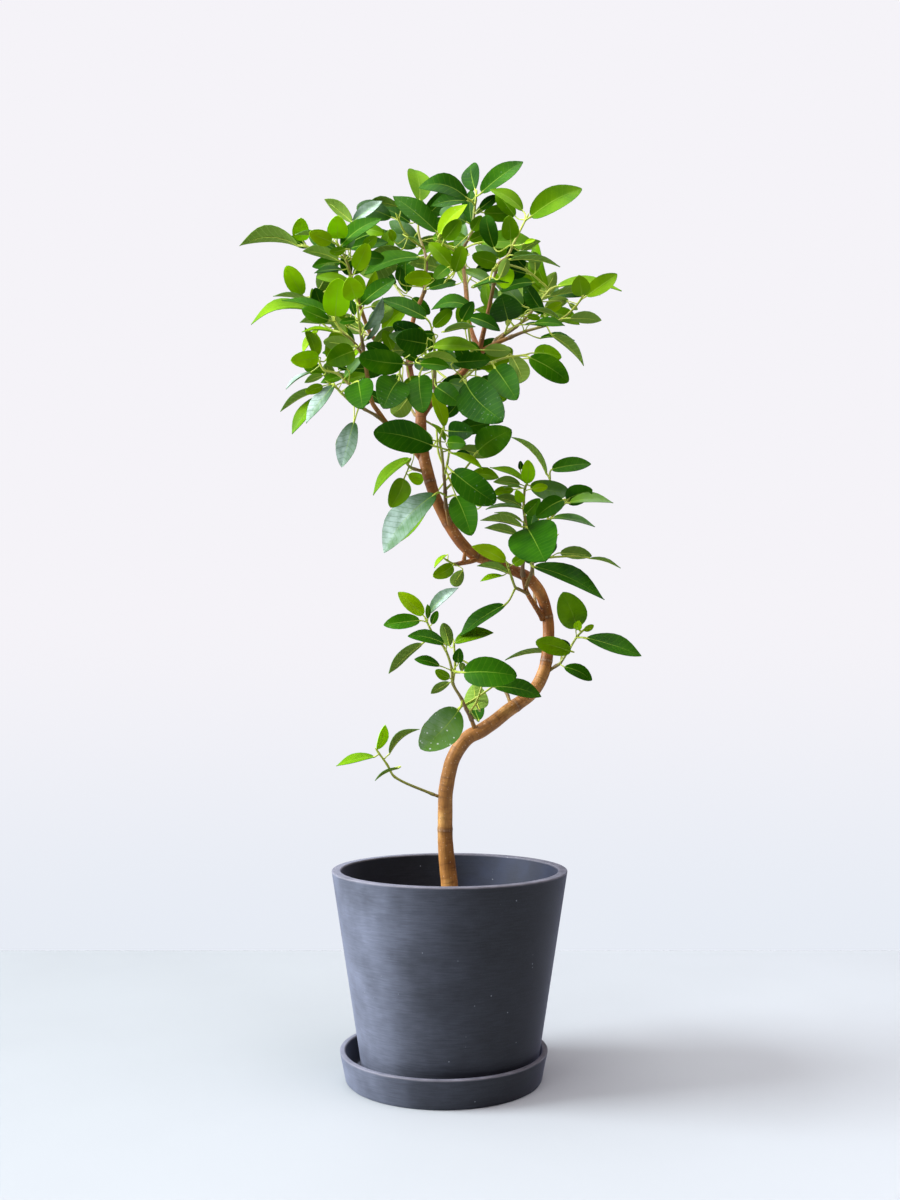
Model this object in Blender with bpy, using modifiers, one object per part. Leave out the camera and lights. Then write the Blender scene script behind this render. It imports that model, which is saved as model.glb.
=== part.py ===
"""Potted rusty fig (Ficus rubiginosa): a young tree with an S-bent trunk in a dark pot on its saucer.

Lengths in the tables are millimetres and are turned to metres when a point is made. Z is up, the
front faces -Y, and the origin lies on the surface that the saucer stands on, below the pot's axis.

The tree is given as it is seen from the front: each place has x and z on the plane of the pot's
axis, and a depth behind (+) or in front of (-) that plane, along the line of sight from EYE.
"""
import math

import bmesh
import bpy
from mathutils import Vector
from mathutils.bvhtree import BVHTree
from mathutils.geometry import intersect_point_line

MM = 0.001
GAP = 0.3                       # clearance kept between touching pieces
EYE = Vector((0.4, -1065.5, 335.5))

# Pot: a plain tapered cup with a thick square rim and a small foot radius
POT_TOP = 180.2
POT_RIM_RADIUS = 105.0
POT_FOOT_RADIUS = 76.6
POT_WALL = 8.2
POT_FLOOR = 9.0
POT_EDGE = 1.4
POT_FOOT_EDGE = 5.0
POT_RECESS = 3.0
DRAIN_RADIUS = 9.0

# Saucer: a low dish, a little off the pot's axis, as the pot was set down in it
SAUCER_X = -5.1
SAUCER_HEIGHT = 25.2
SAUCER_RIM_RADIUS = 91.6
SAUCER_BASE_RADIUS = 86.1
SAUCER_WALL = 5.0
SAUCER_FLOOR = 5.0
SAUCER_EDGE = 1.2

ROUND_STEPS = 32

# Soil, with the plain hole that the trunk stands in
SOIL_TOP = 147.0
SOIL_EDGE_DROP = 4.0
TRUNK_FOOT = 105.0
TRUNK_FOOT_RADIUS = 8.6

# Leaf blades and their stalks
BLADE_THICKNESS = 0.8
STALK_HALF_WIDTH = 0.8
STALK_ROOT_HALF_WIDTH = 0.45
BLADE_RATIO = 0.55              # width of a full-grown blade over its length
BROADEST_LEAF = 78.0            # no blade is longer than this, however wide it looks
FOLD = math.radians(14)         # how far the halves of a blade rise from its midrib
ARCH = 0.07                     # rise of a blade's middle over its length
LONG_BLADE = 62.0               # blades from this length up have three stations
SHORT_BLADE = 19.0              # and blades up to this length have one, the others two
BLADE_START = 0.08              # share of a blade that may lie close to its own stem
STALK_CUT = 2.2                 # length at a stalk's root that may lie in its own stem
CLEARANCE = 1.3
STEM_SAMPLE = 2.5
CLEAR_STEP = 4.0                # step of depth tried for a leaf that would cross another
CLEAR_TRIES = 13
NUDGES = [(0, 0), (0, 4), (0, -4), (4, 0), (-4, 0), (0, 8), (0, -8), (8, 0), (-8, 0)]

# Depths in the tables are drawn out from CROWN_FOOT up to CROWN_HEAD, and level off at CROWN_DEPTH
CROWN_FOOT = 590.0
CROWN_HEAD = 730.0
CROWN_SPREAD = 2.0
CROWN_DEPTH = 115.0

# Trunk: x, z, depth, radius, from below the soil to the fork
TRUNK = [
    (0, TRUNK_FOOT, 0, TRUNK_FOOT_RADIUS), (0, 150, 0, TRUNK_FOOT_RADIUS),
    (0, 165, 0, 7.6), (-2.3, 187, 0, 7.3), (-3.8, 205, -1, 6.8), (-3.9, 235, -4, 6.5),
    (-3.2, 250, -6, 6.6), (0.7, 270, -8, 6.5), (4.3, 280, -9, 6.5), (10.4, 290, -9, 6.5),
    (18, 297.5, -8, 6.5), (28, 302.5, -6, 6.5), (41.5, 311.5, -2, 6.3), (52, 320, 3, 6.2),
    (65.5, 329.5, 8, 6), (75, 337.5, 12, 6), (82, 348, 15, 5.8), (87, 362, 17, 5.6),
    (89.6, 382, 19, 5.4), (89.4, 402, 20, 5.3), (85.5, 420, 17, 5.3), (79, 433, 13, 5.5),
    (69, 443, 8, 5.4), (54, 449.5, 3, 4.8), (37, 456.5, -2, 4.7), (22.5, 462, -6, 5),
    (11, 473, -10, 5.4), (2.5, 485, -12, 5.3), (-6, 500, -14, 5.2), (-14, 518, -15, 5.1),
    (-20.5, 540, -12, 5.5), (-25, 560, -8, 5.4), (-26.3, 578, -4, 5.2), (-26.5, 592, 0, 5),
]

LIMB_RUN = 2.5                  # a shoot leaves its limb straight for this length
THICK_LIMB = 3.0                # limbs thicker than this have six sides, others four

# Woody limbs, fused with the trunk; one ends where the leafy shoot of its name goes on
LIMBS = {
    "right_main": [(-26.5, 590, 0, 3.6), (-17, 603, -2, 3.3), (-2, 617, -6, 3.2),
                   (14, 633, -9, 3.1), (28, 652, -10, 3)],
    "top_left": [(-26.5, 590, 0, 3.7), (-32, 612, 3, 3.5), (-37, 635, 6, 3.2), (-37, 648, 8, 2.6),
                 (-34, 680, 12, 2.2), (-24, 707, 16, 1.8)],
    "upper_left": [(-37, 645, 8, 2.4), (-52, 655, 2, 2), (-62, 657, -2, 2), (-73, 668, -6, 1.9),
                   (-85, 700, -12, 1.7)],
    "left_top": [(-26, 552, -10, 2.8), (-45, 572, -18, 2.4), (-57, 583, -22, 2.3),
             (-65, 594, -25, 2.2), (-72, 605, -28, 2), (-76, 628, -33, 1.8), (-80, 654, -38, 1.6)],
    "left_low": [(-57, 583, -22, 1.8), (-66, 590, -27, 1.5)],
    "left_mid": [(-73, 608, -28, 1.6), (-82, 614, -30, 1.4)],
    "yellow_left": [(-78.5, 645, -36, 1.4), (-85, 655, -37, 1.4)],
    "top_centre": [(28, 651, -10, 2.6), (21, 668, -6, 2.4), (17, 685, -2, 2.1), (15, 710, 4, 1.9),
                   (13, 730, 8, 1.7)],
    "top_right": [(27, 650, -10, 2.6), (31, 668, -14, 2.3), (35, 685, -17, 2.1),
                  (41, 715, -22, 1.7)],
    "right_lower": [(26.5, 650, -10, 2.4), (45, 660, -14, 2), (55, 664.5, -16, 1.8)],
    "right_upper": [(43, 659, -13, 1.8), (49, 665.5, -8, 1.6)],
    "crown_front": [(20, 642, -10, 1.8), (22, 640, -24, 1.6)],
    "centre_front": [(-12, 607.5, -4, 1.9), (-13, 613, -17, 1.6)],
    "front_left": [(-36, 640, 6, 2), (-39, 640, -10, 1.7)],
    "parallel": [(1, 487, -13, 2.2), (-1, 495, -21, 1.9), (-3, 505, -23, 1.8)],
    "trunk_left": [(-20, 538, -12, 1.6), (-30.5, 541, -14, 1.4)],
    "right_inner": [(85, 404, 18, 2.7), (78, 415, 8, 2.4), (70, 429, 0, 2.2), (67, 443, -6, 2)],
    "right_outer": [(69.3, 433, -2, 1.7), (74, 444, -12, 1.5)],
    "inner_green": [(71, 427, 0, 1.6), (63.5, 430.5, -7, 1.4)],
    "stub": [(28, 460, -4, 2), (20, 456.5, -10, 1.8), (8, 454, -15, 1.6)],
    "stub_spur": [(13, 455.5, -13, 1.3), (14, 464, -17, 1.2)],
    "right_low": [(86, 354, 16, 1.7), (95, 360, 14, 1.4)],
    "left_cluster": [(24, 301, -7, 2.2), (20, 312, -14, 1.8)],
    "low_left": [(-3, 241.5, -5, 1.6), (-14, 245.5, -6, 1.3)],
    "back_fork": [(-27, 586, -2, 2.2), (-27, 588, 16, 1.9)],
    "back_centre": [(-2, 617, -6, 2.1), (-1, 620, 14, 1.8)],
    "back_high": [(16, 690, -1, 1.7), (16.5, 694, 14, 1.5)],
    "back_left": [(-56, 656, 0, 1.8), (-56, 659, 16, 1.6)],
    "back_top": [(-33, 684, 12, 1.6), (-33, 688, 28, 1.4)],
    "back_right": [(40, 657, -13, 1.7), (41, 660, 8, 1.5)],
    "back_mid": [(78, 415, 8, 1.8), (78, 418, 30, 1.5)],
    "back_low": [(56, 323, 4, 1.8), (53, 333, 20, 1.5)],
}

# Leafy shoots. Stems are rows of x, z, depth, radius, and the first goes on from the shoot's limb.
# A leaf is base x, base z, tip x, tip z, seen width (below zero where its underside shows), depth,
# and, where it bends more than the others do, the rise of its middle.
SHOOTS = {
    "low_left": {
        "stems": [[(-49, 261, -12, 1.1), (-56, 272, -14, 1), (-64, 283, -16, 0.9)]],
        "leaves": [
            (-68, 279, -102, 271, 8, -18), (-65, 286, -58, 308, 9, -16),
            (-54, 282, -27, 304, -7, -8, 6), (-46, 269, -67, 258, -2, -22),
        ],
    },
    "left_cluster": {
        "stems": [
            [(15, 322, -20, 1.5), (11, 331, -23, 1.4), (3, 345, -28, 1.3), (2, 358, -30, 1.2),
             (-4, 376, -32, 1.1), (-15, 390, -34, 1), (-21, 402, -35, 0.9)],
            [(3, 345, -28, 1), (5, 362, -24, 1), (4, 380, -22, 0.9)],
            [(17, 318, -19, 1.1), (24, 328, -12, 1), (30, 345, -8, 0.9)],
        ],
        "leaves": [
            (-24, 407, -47, 428, 14, -32), (-27, 402, -60, 398, 14, -38),
            (-18, 409, 8, 432, 10, -34), (-20, 404, -20, 417, 5, -44), (-16, 399, -11, 411, 7, -44),
            (-5, 381, -38, 388, 12, -46), (0, 379, -6, 400, -12, -12), (-25, 381, -55, 354, -10, -28),
            (-9, 361, -32, 367, 9, -40), (0, 350, -13, 357, 9, -48), (0, 346, -17, 336, -8, -24),
            (5, 382, 40, 391, 12, -24), (13, 355, 61, 352, 27, -52), (41, 342, 83, 333, 16, -16),
            (27, 318, 22, 341, -24, 22), (8, 321, -26, 286, 31, -44), (8, 364, 9, 377, 10, -40),
            (11, 356, 11, 364, -6, -36),
        ],
    },
    "right_low": {
        "stems": [[(100, 363, 12, 1.2), (109, 377, 8, 1.1), (116, 388, 4, 1), (120, 392, 3, 0.9)]],
        "leaves": [
            (116, 396, 103, 428, 27, 4), (122, 393, 131, 398, 6, 2), (115, 394, 118, 402, 8, -8),
            (124, 386, 174, 370, 17, -6), (110, 374, 78, 383, 17, -14), (109, 378, 97, 384, 9, -4),
            (104, 360, 129, 348, 13, 6), (97, 373, 50, 366, -2.5, 33),
        ],
    },
    "inner_green": {
        "stems": [[(60, 432, -10, 1.2), (57, 440, -12, 1.1), (53, 452, -16, 1)]],
        "leaves": [
            (50, 416, 9, 388, 13, -24), (51, 456, 20, 470, 13, -34), (53, 446, 25, 452, -7, -24),
            (48, 443, 28, 438, 5, -26), (58, 454, 70, 463, 10, -30),
        ],
    },
    "stub": {
        "stems": [[(3, 454, -19, 1), (-2, 457, -22, 0.9)]],
        "leaves": [(-3, 462, -14, 450, 4, -26), (3, 452, -15, 442, 13, -28), (12, 448, 3, 434, -12, -8)],
    },
    "trunk_left": {
        "stems": [[(-36, 543, -17, 1.1), (-39, 546, -19, 0.9)]],
        "leaves": [
            (-36, 551, -70, 517, 10, -10), (-42, 532, -54, 506, 19, -30), (-38, 536, -24, 531, 12, 4),
            (-33, 556, -38, 566, 8, -26),
        ],
    },
    "parallel": {
        "stems": [
            [(-4, 520, -25, 1.6), (-5, 535, -27, 1.4), (-7, 556, -29, 1.2), (-9, 568, -32, 1.1),
             (-6, 579, -34, 0.9)],
            [(-5, 535, -27, 1), (-2, 547, -32, 1), (0, 560, -36, 0.9)],
            [(-4, 522, -25, 1.1), (8, 534, -28, 1), (20, 549, -32, 0.9)],
        ],
        "leaves": [
            (-13, 518, -60, 464, 27, -42), (3, 539, 42, 510, 26, -50), (6, 516, 20, 480, 25, -36),
            (2, 556, 31, 541, 6, -58), (6, 556, 19, 555, 5, -44), (10, 560, 38, 553, -12, -14),
            (-15, 563, -70, 576, 29, -52), (-5, 581, -16, 613, 12, -44), (-1, 577, 22, 576, 19, -42),
            (-4, 568, -16, 584, 5, -24), (-2, 566, 15, 565, 13, -54), (26, 558, 57, 578, 27, -40),
            (29, 507, 27, 521, 12, -30),
        ],
    },
    "right_inner": {
        "stems": [
            [(67, 456, -10, 1.7), (69, 470, -13, 1.6), (70, 486, -16, 1.4), (68, 505, -19, 1.3),
             (69, 523, -21, 1.1), (71, 528, -22, 0.9)],
        ],
        "leaves": [
            (71, 528, 72, 550, 13, -24), (74, 526, 110, 520, 19, -10), (76, 523, 90, 525, 8, -36),
            (70, 529, 37, 543, 6, -30), (69, 531, 55, 539, -3, -16), (66, 524, 50, 524, -2, -28),
            (66, 507, 42, 515, -9, -4), (67, 511, 61, 522, 9, -36), (70, 500, 83, 514, 13, -42),
            (66, 505, 33, 504, 2.5, -22), (66, 493, 41, 501, -2, -34), (66, 488, 28, 494, -8, -26),
            (62, 481, 32, 487, -8, -12), (71, 487, 87, 456, 46, -52), (78, 488, 93, 490, 4, -28),
            (65, 541, 65, 549, 5, -18),
        ],
    },
    "right_outer": {
        "stems": [
            [(76, 458, -19, 1.3), (85, 482, -24, 1.2), (92, 495, -27, 1.1), (107, 511, -30, 0.9)],
            [(76, 458, -19, 1), (93, 460, -28, 1), (112, 461, -34, 0.9)],
            [(88, 488, -25, 1), (93, 512, -14, 1), (92, 534, -6, 0.9)],
        ],
        "leaves": [
            (104, 513, 79, 497, 17, -46), (107, 513, 131, 522, 19, -24), (110, 510, 150, 510, 9, -36),
            (89, 537, 57, 571, -5, -4, 5), (94, 541, 130, 546, 14, -8), (95, 496, 133, 488, 7, -34),
            (101, 464, 130, 461, -12, -24), (128, 459, 156, 450, -2, -36), (77, 451, 141, 421, 16, -40),
        ],
    },
    "left_low": {
        "stems": [[(-78, 597, -33, 1.4), (-92, 605, -38, 1.2), (-104, 617, -42, 1), (-110, 621, -44, 0.9)]],
        "leaves": [
            (-88, 585, -99, 543, 18, -46), (-107, 619, -132, 584, 12, -56), (-117, 609, -145, 574, 12, -38),
            (-118, 615, -156, 595, -7, -30), (-117, 619, -133, 613, 9, -50), (-84, 623, -80, 598, 26, -62),
        ],
    },
    "left_mid": {
        "stems": [[(-94, 622, -28, 1.3), (-104, 631, -26, 1.1), (-116, 634, -25, 1), (-121, 643, -24, 0.9)]],
        "leaves": [
            (-128, 632, -151, 616, 3, -20), (-117, 629, -134, 622, -7, -14), (-95, 629, -119, 622, 9, -8),
            (-95, 635, -104, 638, 5, -38), (-121, 646, -147, 643, 16, -34), (-122, 648, -125, 670, 7, -18),
        ],
    },
    "left_top": {
        "stems": [[(-82, 668, -41, 1.3), (-84, 680, -44, 1.1), (-86, 700, -48, 0.9)]],
        "leaves": [
            (-87, 702, -94, 722, 19, -58), (-82, 696, -50, 720, 14, -60), (-79, 672, -62, 703, 10, -52),
            (-77, 663, -64, 690, 5, -38), (-87, 681, -102, 679, 6, -58), (-88, 686, -92, 701, 7, -34),
            (-71, 656, -50, 675, -9, -30),
        ],
    },
    "yellow_left": {
        "stems": [
            [(-92, 664, -38, 1.2), (-99, 669, -38, 1.1), (-107, 681, -37, 0.9)],
            [(-99, 669, -38, 0.9), (-113, 674, -30, 0.9), (-123, 684, -26, 0.9)],
        ],
        "leaves": [
            (-106, 685, -103, 721, 24, -50), (-128, 690, -184, 677, 10, -22, 9),
            (-110, 686, -156, 700, 7, -32), (-125, 697, -164, 704, -3, -12), (-112, 681, -137, 692, 13, -46),
            (-106, 678, -139, 679, -10, -24), (-108, 670, -137, 670, 3, -44), (-122, 672, -136, 650, 7, -12),
            (-88, 656, -117, 661, -14, -54), (-89, 652, -114, 641, 20, -46), (-80, 652, -99, 634, 9, -26),
        ],
    },
    "upper_left": {
        "stems": [
            [(-92, 725, -16, 1.4), (-97, 740, -18, 1.2), (-104, 753, -20, 1)],
            [(-97, 740, -18, 1), (-118, 746, -16, 1), (-134, 752, -14, 0.9)],
            [(-100, 746, -19, 1), (-96, 760, -10, 1), (-92, 771, -6, 0.9)],
            [(-90, 717, -15, 1), (-110, 708, -10, 1), (-129, 703, -6, 0.9)],
        ],
        "leaves": [
            (-141, 752, -196, 752, -15, -12, 11), (-137, 757, -139, 779, 16, -14),
            (-112, 757, -144, 763, -4, -30), (-91, 775, -117, 797, -12, 0), (-90, 775, -63, 795, 11, -4),
            (-105, 759, -104, 781, 19, -28), (-110, 756, -131, 765, 14, -40), (-101, 752, -63, 778, 14, -30),
            (-92, 769, -68, 776, 5, -20), (-87, 729, -76, 754, 16, -32), (-103, 738, -137, 747, -11, -30),
            (-102, 736, -128, 732, 12, -2), (-100, 729, -126, 726, 6, -28), (-93, 716, -124, 722, 10, -14),
            (-137, 705, -152, 733, 18, -4), (-112, 712, -127, 703, 12, -2), (-80, 750, -68, 761, 10, -44),
            (-97, 749, -112, 746, 8, -38),
        ],
    },
    "top_left": {
        "stems": [
            [(-22, 740, 20, 1.5), (-29, 765, 22, 1.2), (-29, 779, 22, 1)],
            [(-24.8, 750, 20.8, 1.1), (-40, 762, 12, 1), (-48, 778, 8, 0.9)],
        ],
        "leaves": [
            (-37, 774, -66, 790, 11, 26), (-48, 790, -77, 793, -9, 10), (-28, 741, -80, 724, 15, 2),
            (-45, 748, -79, 733, -16, 14), (-47, 719, -46, 732, 10, 6), (-17, 721, -42, 720, 15, -2),
            (-12, 765, -53, 800, 20, 4), (-28, 795, -33, 825, 23, 20), (-39, 760, -27, 753, -3, -4),
            (-52, 757, -56, 768, 8, 0), (-19, 711, 6, 718, 10, 4),
        ],
    },
    "top_centre": {
        "stems": [
            [(12, 748, 10, 1.5), (20, 763, 10, 1.3), (23, 785, 12, 1.1), (25, 801, 12, 0.9)],
            [(12.6, 740, 9, 1.1), (2, 749, 2, 1), (-8, 755, -4, 0.9)],
            [(12.8, 735, 8.5, 1), (5, 728, -2, 1), (-3, 719, -8, 0.9)],
        ],
        "leaves": [
            (17, 797, -29, 808, 19, 6, 11), (17, 795, -18, 790, 12, 24), (-9, 763, 17, 792, 13, -14),
            (-5, 758, 10, 777, 15, -20), (-12, 757, 5, 766, -8, 8), (24, 806, 20, 830, 19, 16),
            (30, 803, 69, 833, 18, 8), (25, 783, 48, 798, -8, 22), (21, 767, 30, 781, 11, -4),
            (30, 755, 84, 750, 18, -4), (33, 750, 50, 745, 7, 14), (3, 730, -19, 755, 15, -14),
            (5, 727, 12, 752, 14, -22), (-2, 731, -14, 720, 12, -22),
        ],
    },
    "top_right": {
        "stems": [
            [(45, 734, -26, 1.4), (54, 742, -27, 1.3), (60, 755, -26, 1.1), (72, 779, -22, 0.9)],
            [(45, 734, -26, 1), (40, 728, -36, 1), (38, 722, -42, 0.9)],
            [(48, 736, -26, 1), (72, 728, -22, 1), (88, 715, -18, 0.9)],
        ],
        "leaves": [
            (68, 786, 38, 806, 12, -16), (76, 780, 124, 807, 22, -24), (57, 758, 55, 781, 16, -36),
            (59, 743, 86, 736, -8, -36), (57, 739, 103, 732, -3, -44), (43, 736, 21, 743, 15, -34),
            (91, 712, 81, 758, 15, -14), (22, 712, 55, 717, 3, -50),
            (46, 707, 59, 721, 16, -12), (47, 722, 54, 740, -10, -54), (70, 754, 80, 758, 4, -34),
        ],
    },
    "right_upper": {
        "stems": [
            [(62, 675, -2, 1.4), (75, 688, 2, 1.3), (85, 700, 4, 1.1), (92, 709, 6, 0.9)],
        ],
        "leaves": [
            (54, 682, 48, 706, 30, -28), (80, 697, 45, 708, -28, 18), (100, 713, 160, 709, 8, 10),
            (93, 704, 140, 705, -6, -6), (104, 697, 88, 689, 9, -12), (76, 691, 102, 683, -4, -14),
            (70, 677, 87, 675, 3, -24), (84, 684, 98, 689, 6, 18), (40, 690, 34, 720, 11, 12),
        ],
    },
    "right_lower": {
        "stems": [
            [(70, 670.5, -20, 1.4), (92, 677, -26, 1.2), (105, 683, -28, 1.1), (116, 693, -28, 1),
             (122, 701, -28, 0.9)],
        ],
        "leaves": [
            (123, 705, 120, 724, 17, -34), (127, 704, 156, 725, 16, -22), (112, 683, 141, 681, -11, -40),
            (83, 678, 111, 676, 8, -42), (95, 667, 124, 638, -9, -30), (84, 664, 116, 662, 5, -16),
            (68, 685, 80, 683, 6, -38), (111, 697, 119, 691, -5, -20),
        ],
    },
    "crown_front": {
        "stems": [
            [(26, 638, -38, 1.4), (34, 640, -52, 1.2), (40, 641, -60, 1)],
            [(26, 638, -38, 1.1), (18, 630, -46, 1), (12, 625, -54, 0.9)],
            [(34, 640, -52, 1.1), (54, 646, -56, 1), (68, 648, -60, 0.9)],
            [(26, 638, -38, 1.1), (20, 655, -50, 1), (16, 690, -58, 0.9)],
        ],
        "leaves": [
            (74, 646, 110, 623, 20, -68), (57, 648, 68, 623, -18, -46), (32, 649, 57, 648, -12, -74),
            (42, 636, 62, 606, 25, -72), (15, 622, 49, 586, 36, -62), (3, 637, 38, 640, 15, -84),
            (18, 684, 47, 671, 12, -66), (22, 691, -17, 691, 12, -52, 9),
            (-5, 670, 24, 675, -6, -72), (12, 682, 22, 699, 12, -84),
        ],
    },
    "centre_front": {
        "stems": [
            [(-14, 618, -30, 1.5), (-14, 634, -38, 1.3), (-14, 652, -42, 1.1), (-14, 662, -44, 0.9)],
            [(-14, 640, -40, 1), (-20, 647, -50, 1), (-24, 652, -58, 0.9)],
        ],
        "leaves": [
            (-15, 656, 27, 654, 12, -62), (-24, 646, 8, 642, -9, -68), (-27, 640, 0, 637, 11, -80),
            (-12, 618, 10, 602, 19, -48), (-28, 628, -24, 594, 24, -62), (-22, 659, -50, 664, 23, -74),
            (-22, 683, -64, 701, 14, -46), (-10, 668, -22, 669, 6, -62), (-15, 675, 2, 691, 12, -52),
        ],
    },
    "front_left": {
        "stems": [
            [(-40, 640, -30, 1.5), (-43, 641, -48, 1.3), (-46, 642, -60, 1)],
        ],
        "leaves": [
            (-43, 640, -84, 646, 22, -72), (-47, 632, -61, 606, 30, -86), (-36, 612, -52, 592, -18, -20),
            (-34, 652, -26, 674, 14, -66),
        ],
    },
}

# Shoots that grow away from the front. Their leaves lie behind those of the shoots that they are
# named with, a little smaller, at about the depth given.
BACK_SHOOTS = {
    "back_fork": {
        "stems": [[(-28, 590, 40, 1.6), (-32, 592, 62, 1.4), (-38, 604, 82, 1.1), (-44, 626, 80, 0.9)],
                  [(-28, 590, 40, 1.2), (-12, 580, 56, 1), (6, 566, 66, 0.9)],
                  [(-12, 580, 56, 1), (-10, 556, 58, 1), (0, 532, 58, 0.9)]],
        "behind": ["parallel", "front_left"], "depth": 74,
    },
    "back_centre": {
        "stems": [[(0, 624, 36, 1.6), (8, 632, 62, 1.4), (14, 640, 92, 1.1)],
                  [(0, 624, 36, 1.1), (-14, 636, 64, 1), (-22, 648, 84, 0.9)],
                  [(8, 632, 62, 1), (34, 636, 74, 1), (58, 643, 76, 0.9)]],
        "behind": ["crown_front", "centre_front"], "depth": 88,
    },
    "back_high": {
        "stems": [[(17, 699, 36, 1.4), (16, 716, 62, 1.2), (14, 744, 82, 1)],
                  [(16, 716, 62, 1), (30, 738, 72, 0.9)]],
        "behind": ["top_centre", "top_right"], "depth": 78,
    },
    "back_left": {
        "stems": [[(-60, 662, 36, 1.5), (-78, 668, 52, 1.3), (-96, 676, 64, 1)],
                  [(-78, 668, 52, 1), (-90, 640, 58, 1), (-88, 606, 56, 0.9)]],
        "behind": ["yellow_left", "left_low", "left_top"], "depth": 62,
    },
    "back_top": {
        "stems": [[(-36, 694, 44, 1.3), (-52, 716, 60, 1.1), (-66, 740, 68, 1)],
                  [(-66, 740, 68, 1), (-88, 752, 66, 0.9)]],
        "behind": ["upper_left", "top_left"], "depth": 72,
    },
    "back_right": {
        "stems": [[(44, 664, 28, 1.4), (62, 676, 48, 1.2), (84, 688, 62, 1)],
                  [(84, 688, 62, 1), (106, 690, 60, 0.9)]],
        "behind": ["right_upper", "right_lower"], "depth": 62,
    },
    "back_mid": {
        "stems": [[(77, 430, 44, 1.4), (76, 460, 52, 1.2), (80, 492, 54, 1), (92, 511, 52, 0.9)],
                  [(76, 460, 52, 1), (96, 478, 56, 0.9)]],
        "behind": ["right_inner", "right_outer"], "depth": 58,
    },
    "back_low": {
        "stems": [[(44, 346, 34, 1.3), (26, 358, 42, 1.1), (8, 368, 46, 0.9)],
                  [(44, 346, 34, 1), (24, 332, 42, 1), (10, 324, 44, 0.9)]],
        "behind": ["left_cluster"], "depth": 48,
    },
}
BACK_LEAF_SCALE = 0.82
BACK_LEAF_WIDTH = 18            # only leaves that look at least this wide have others behind them
BACK_LEAF_TOP = 775             # and only below this height and within this reach of the axis, so
BACK_LEAF_REACH = 125           # that the crown stays round
BACK_DEPTH_STEP = 11

COLOURS = {
    "stone": (0.050, 0.053, 0.062),
    "soil": (0.045, 0.030, 0.020),
    "bark": (0.260, 0.150, 0.085),
    "leaf": (0.055, 0.170, 0.035),
}
ROUGHNESS = {"stone": 0.75, "soil": 0.95, "bark": 0.7, "leaf": 0.35}


def clear_scene():
    for thing in list(bpy.data.objects):
        bpy.data.objects.remove(thing, do_unlink=True)


def make_collection(name):
    collection = bpy.data.collections.new(name)
    bpy.context.scene.collection.children.link(collection)
    return collection


def make_material(name, finish):
    material = bpy.data.materials.new(name)
    material.use_nodes = True
    shader = material.node_tree.nodes["Principled BSDF"]
    shader.inputs["Base Color"].default_value = (*COLOURS[finish], 1)
    shader.inputs["Roughness"].default_value = ROUGHNESS[finish]
    shader.inputs["Metallic"].default_value = 0
    return material


def as_seen(x, z, depth):
    """The point that lies `depth` behind the axis plane and is seen in front at (x, z)."""
    on_plane = Vector((x, 0, z))
    return EYE + (on_plane - EYE) * ((depth - EYE.y) / -EYE.y)


def spread(z, depth):
    """A table's depth, drawn out with height so that the crown is about as deep as it is wide."""
    share = min(max((z - CROWN_FOOT) / (CROWN_HEAD - CROWN_FOOT), 0), 1)
    drawn_out = depth * (1 + (CROWN_SPREAD - 1) * share)
    return CROWN_DEPTH * math.tanh(drawn_out / CROWN_DEPTH)


def stem_points(rows):
    """Places and radii of a stem, as (point, radius), from rows of x, z, depth, radius."""
    return [(as_seen(x, z, spread(z, depth)), radius) for x, z, depth, radius in rows]


# Round pieces

def turned(name, profile, collection):
    """A turned piece; its profile of (radius, height) runs down the outer side."""
    mesh = bpy.data.meshes.new(name)
    closed = profile[0] == profile[-1]
    points = profile[:-1] if closed else profile
    edges = [(i, i + 1) for i in range(len(points) - 1)]
    if closed:
        edges.append((len(points) - 1, 0))
    mesh.from_pydata([(r * MM, 0, z * MM) for r, z in points], edges, [])
    piece = bpy.data.objects.new(name, mesh)
    collection.objects.link(piece)
    screw = piece.modifiers.new("turn", "SCREW")
    screw.steps = ROUND_STEPS
    screw.render_steps = ROUND_STEPS
    screw.use_merge_vertices = True
    screw.merge_threshold = 0.0001
    return piece


def rounded(corner, before, after, radius, steps=1):
    """Points of a small arc that rounds the corner between two straight sides."""
    corner, before, after = (Vector(p) for p in (corner, before, after))
    start = corner + (before - corner).normalized() * radius
    end = corner + (after - corner).normalized() * radius
    arc = []
    for i in range(steps + 1):
        t = i / steps
        arc.append(tuple(start * (1 - t) ** 2 + corner * 2 * t * (1 - t) + end * t ** 2))
    return arc


def pot_inner_radius(z):
    foot = SAUCER_FLOOR + GAP
    share = (z - foot) / (POT_TOP - foot)
    return POT_FOOT_RADIUS + (POT_RIM_RADIUS - POT_FOOT_RADIUS) * share - POT_WALL


def make_pot(collection):
    foot = SAUCER_FLOOR + GAP
    floor = foot + POT_FLOOR
    rim_out = (POT_RIM_RADIUS, POT_TOP)
    rim_in = (POT_RIM_RADIUS - POT_WALL, POT_TOP)
    foot_out = (POT_FOOT_RADIUS, foot)
    inside = (pot_inner_radius(floor), floor)
    recess_radius = POT_FOOT_RADIUS - 2 * POT_WALL
    profile = rounded(rim_out, rim_in, foot_out, POT_EDGE)
    profile += rounded(foot_out, rim_out, (0, foot), POT_FOOT_EDGE, 2)
    profile += [(recess_radius, foot), (recess_radius - POT_RECESS, foot + POT_RECESS)]
    profile += [(DRAIN_RADIUS, foot + POT_RECESS), (DRAIN_RADIUS, floor)]
    profile += rounded(inside, (0, floor), rim_in, POT_FOOT_EDGE)
    profile += rounded(rim_in, inside, rim_out, POT_EDGE)
    profile.append(profile[0])
    pot = turned("pot", profile, collection)
    pot.data.materials.append(make_material("pot_stone", "stone"))
    return pot


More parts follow.
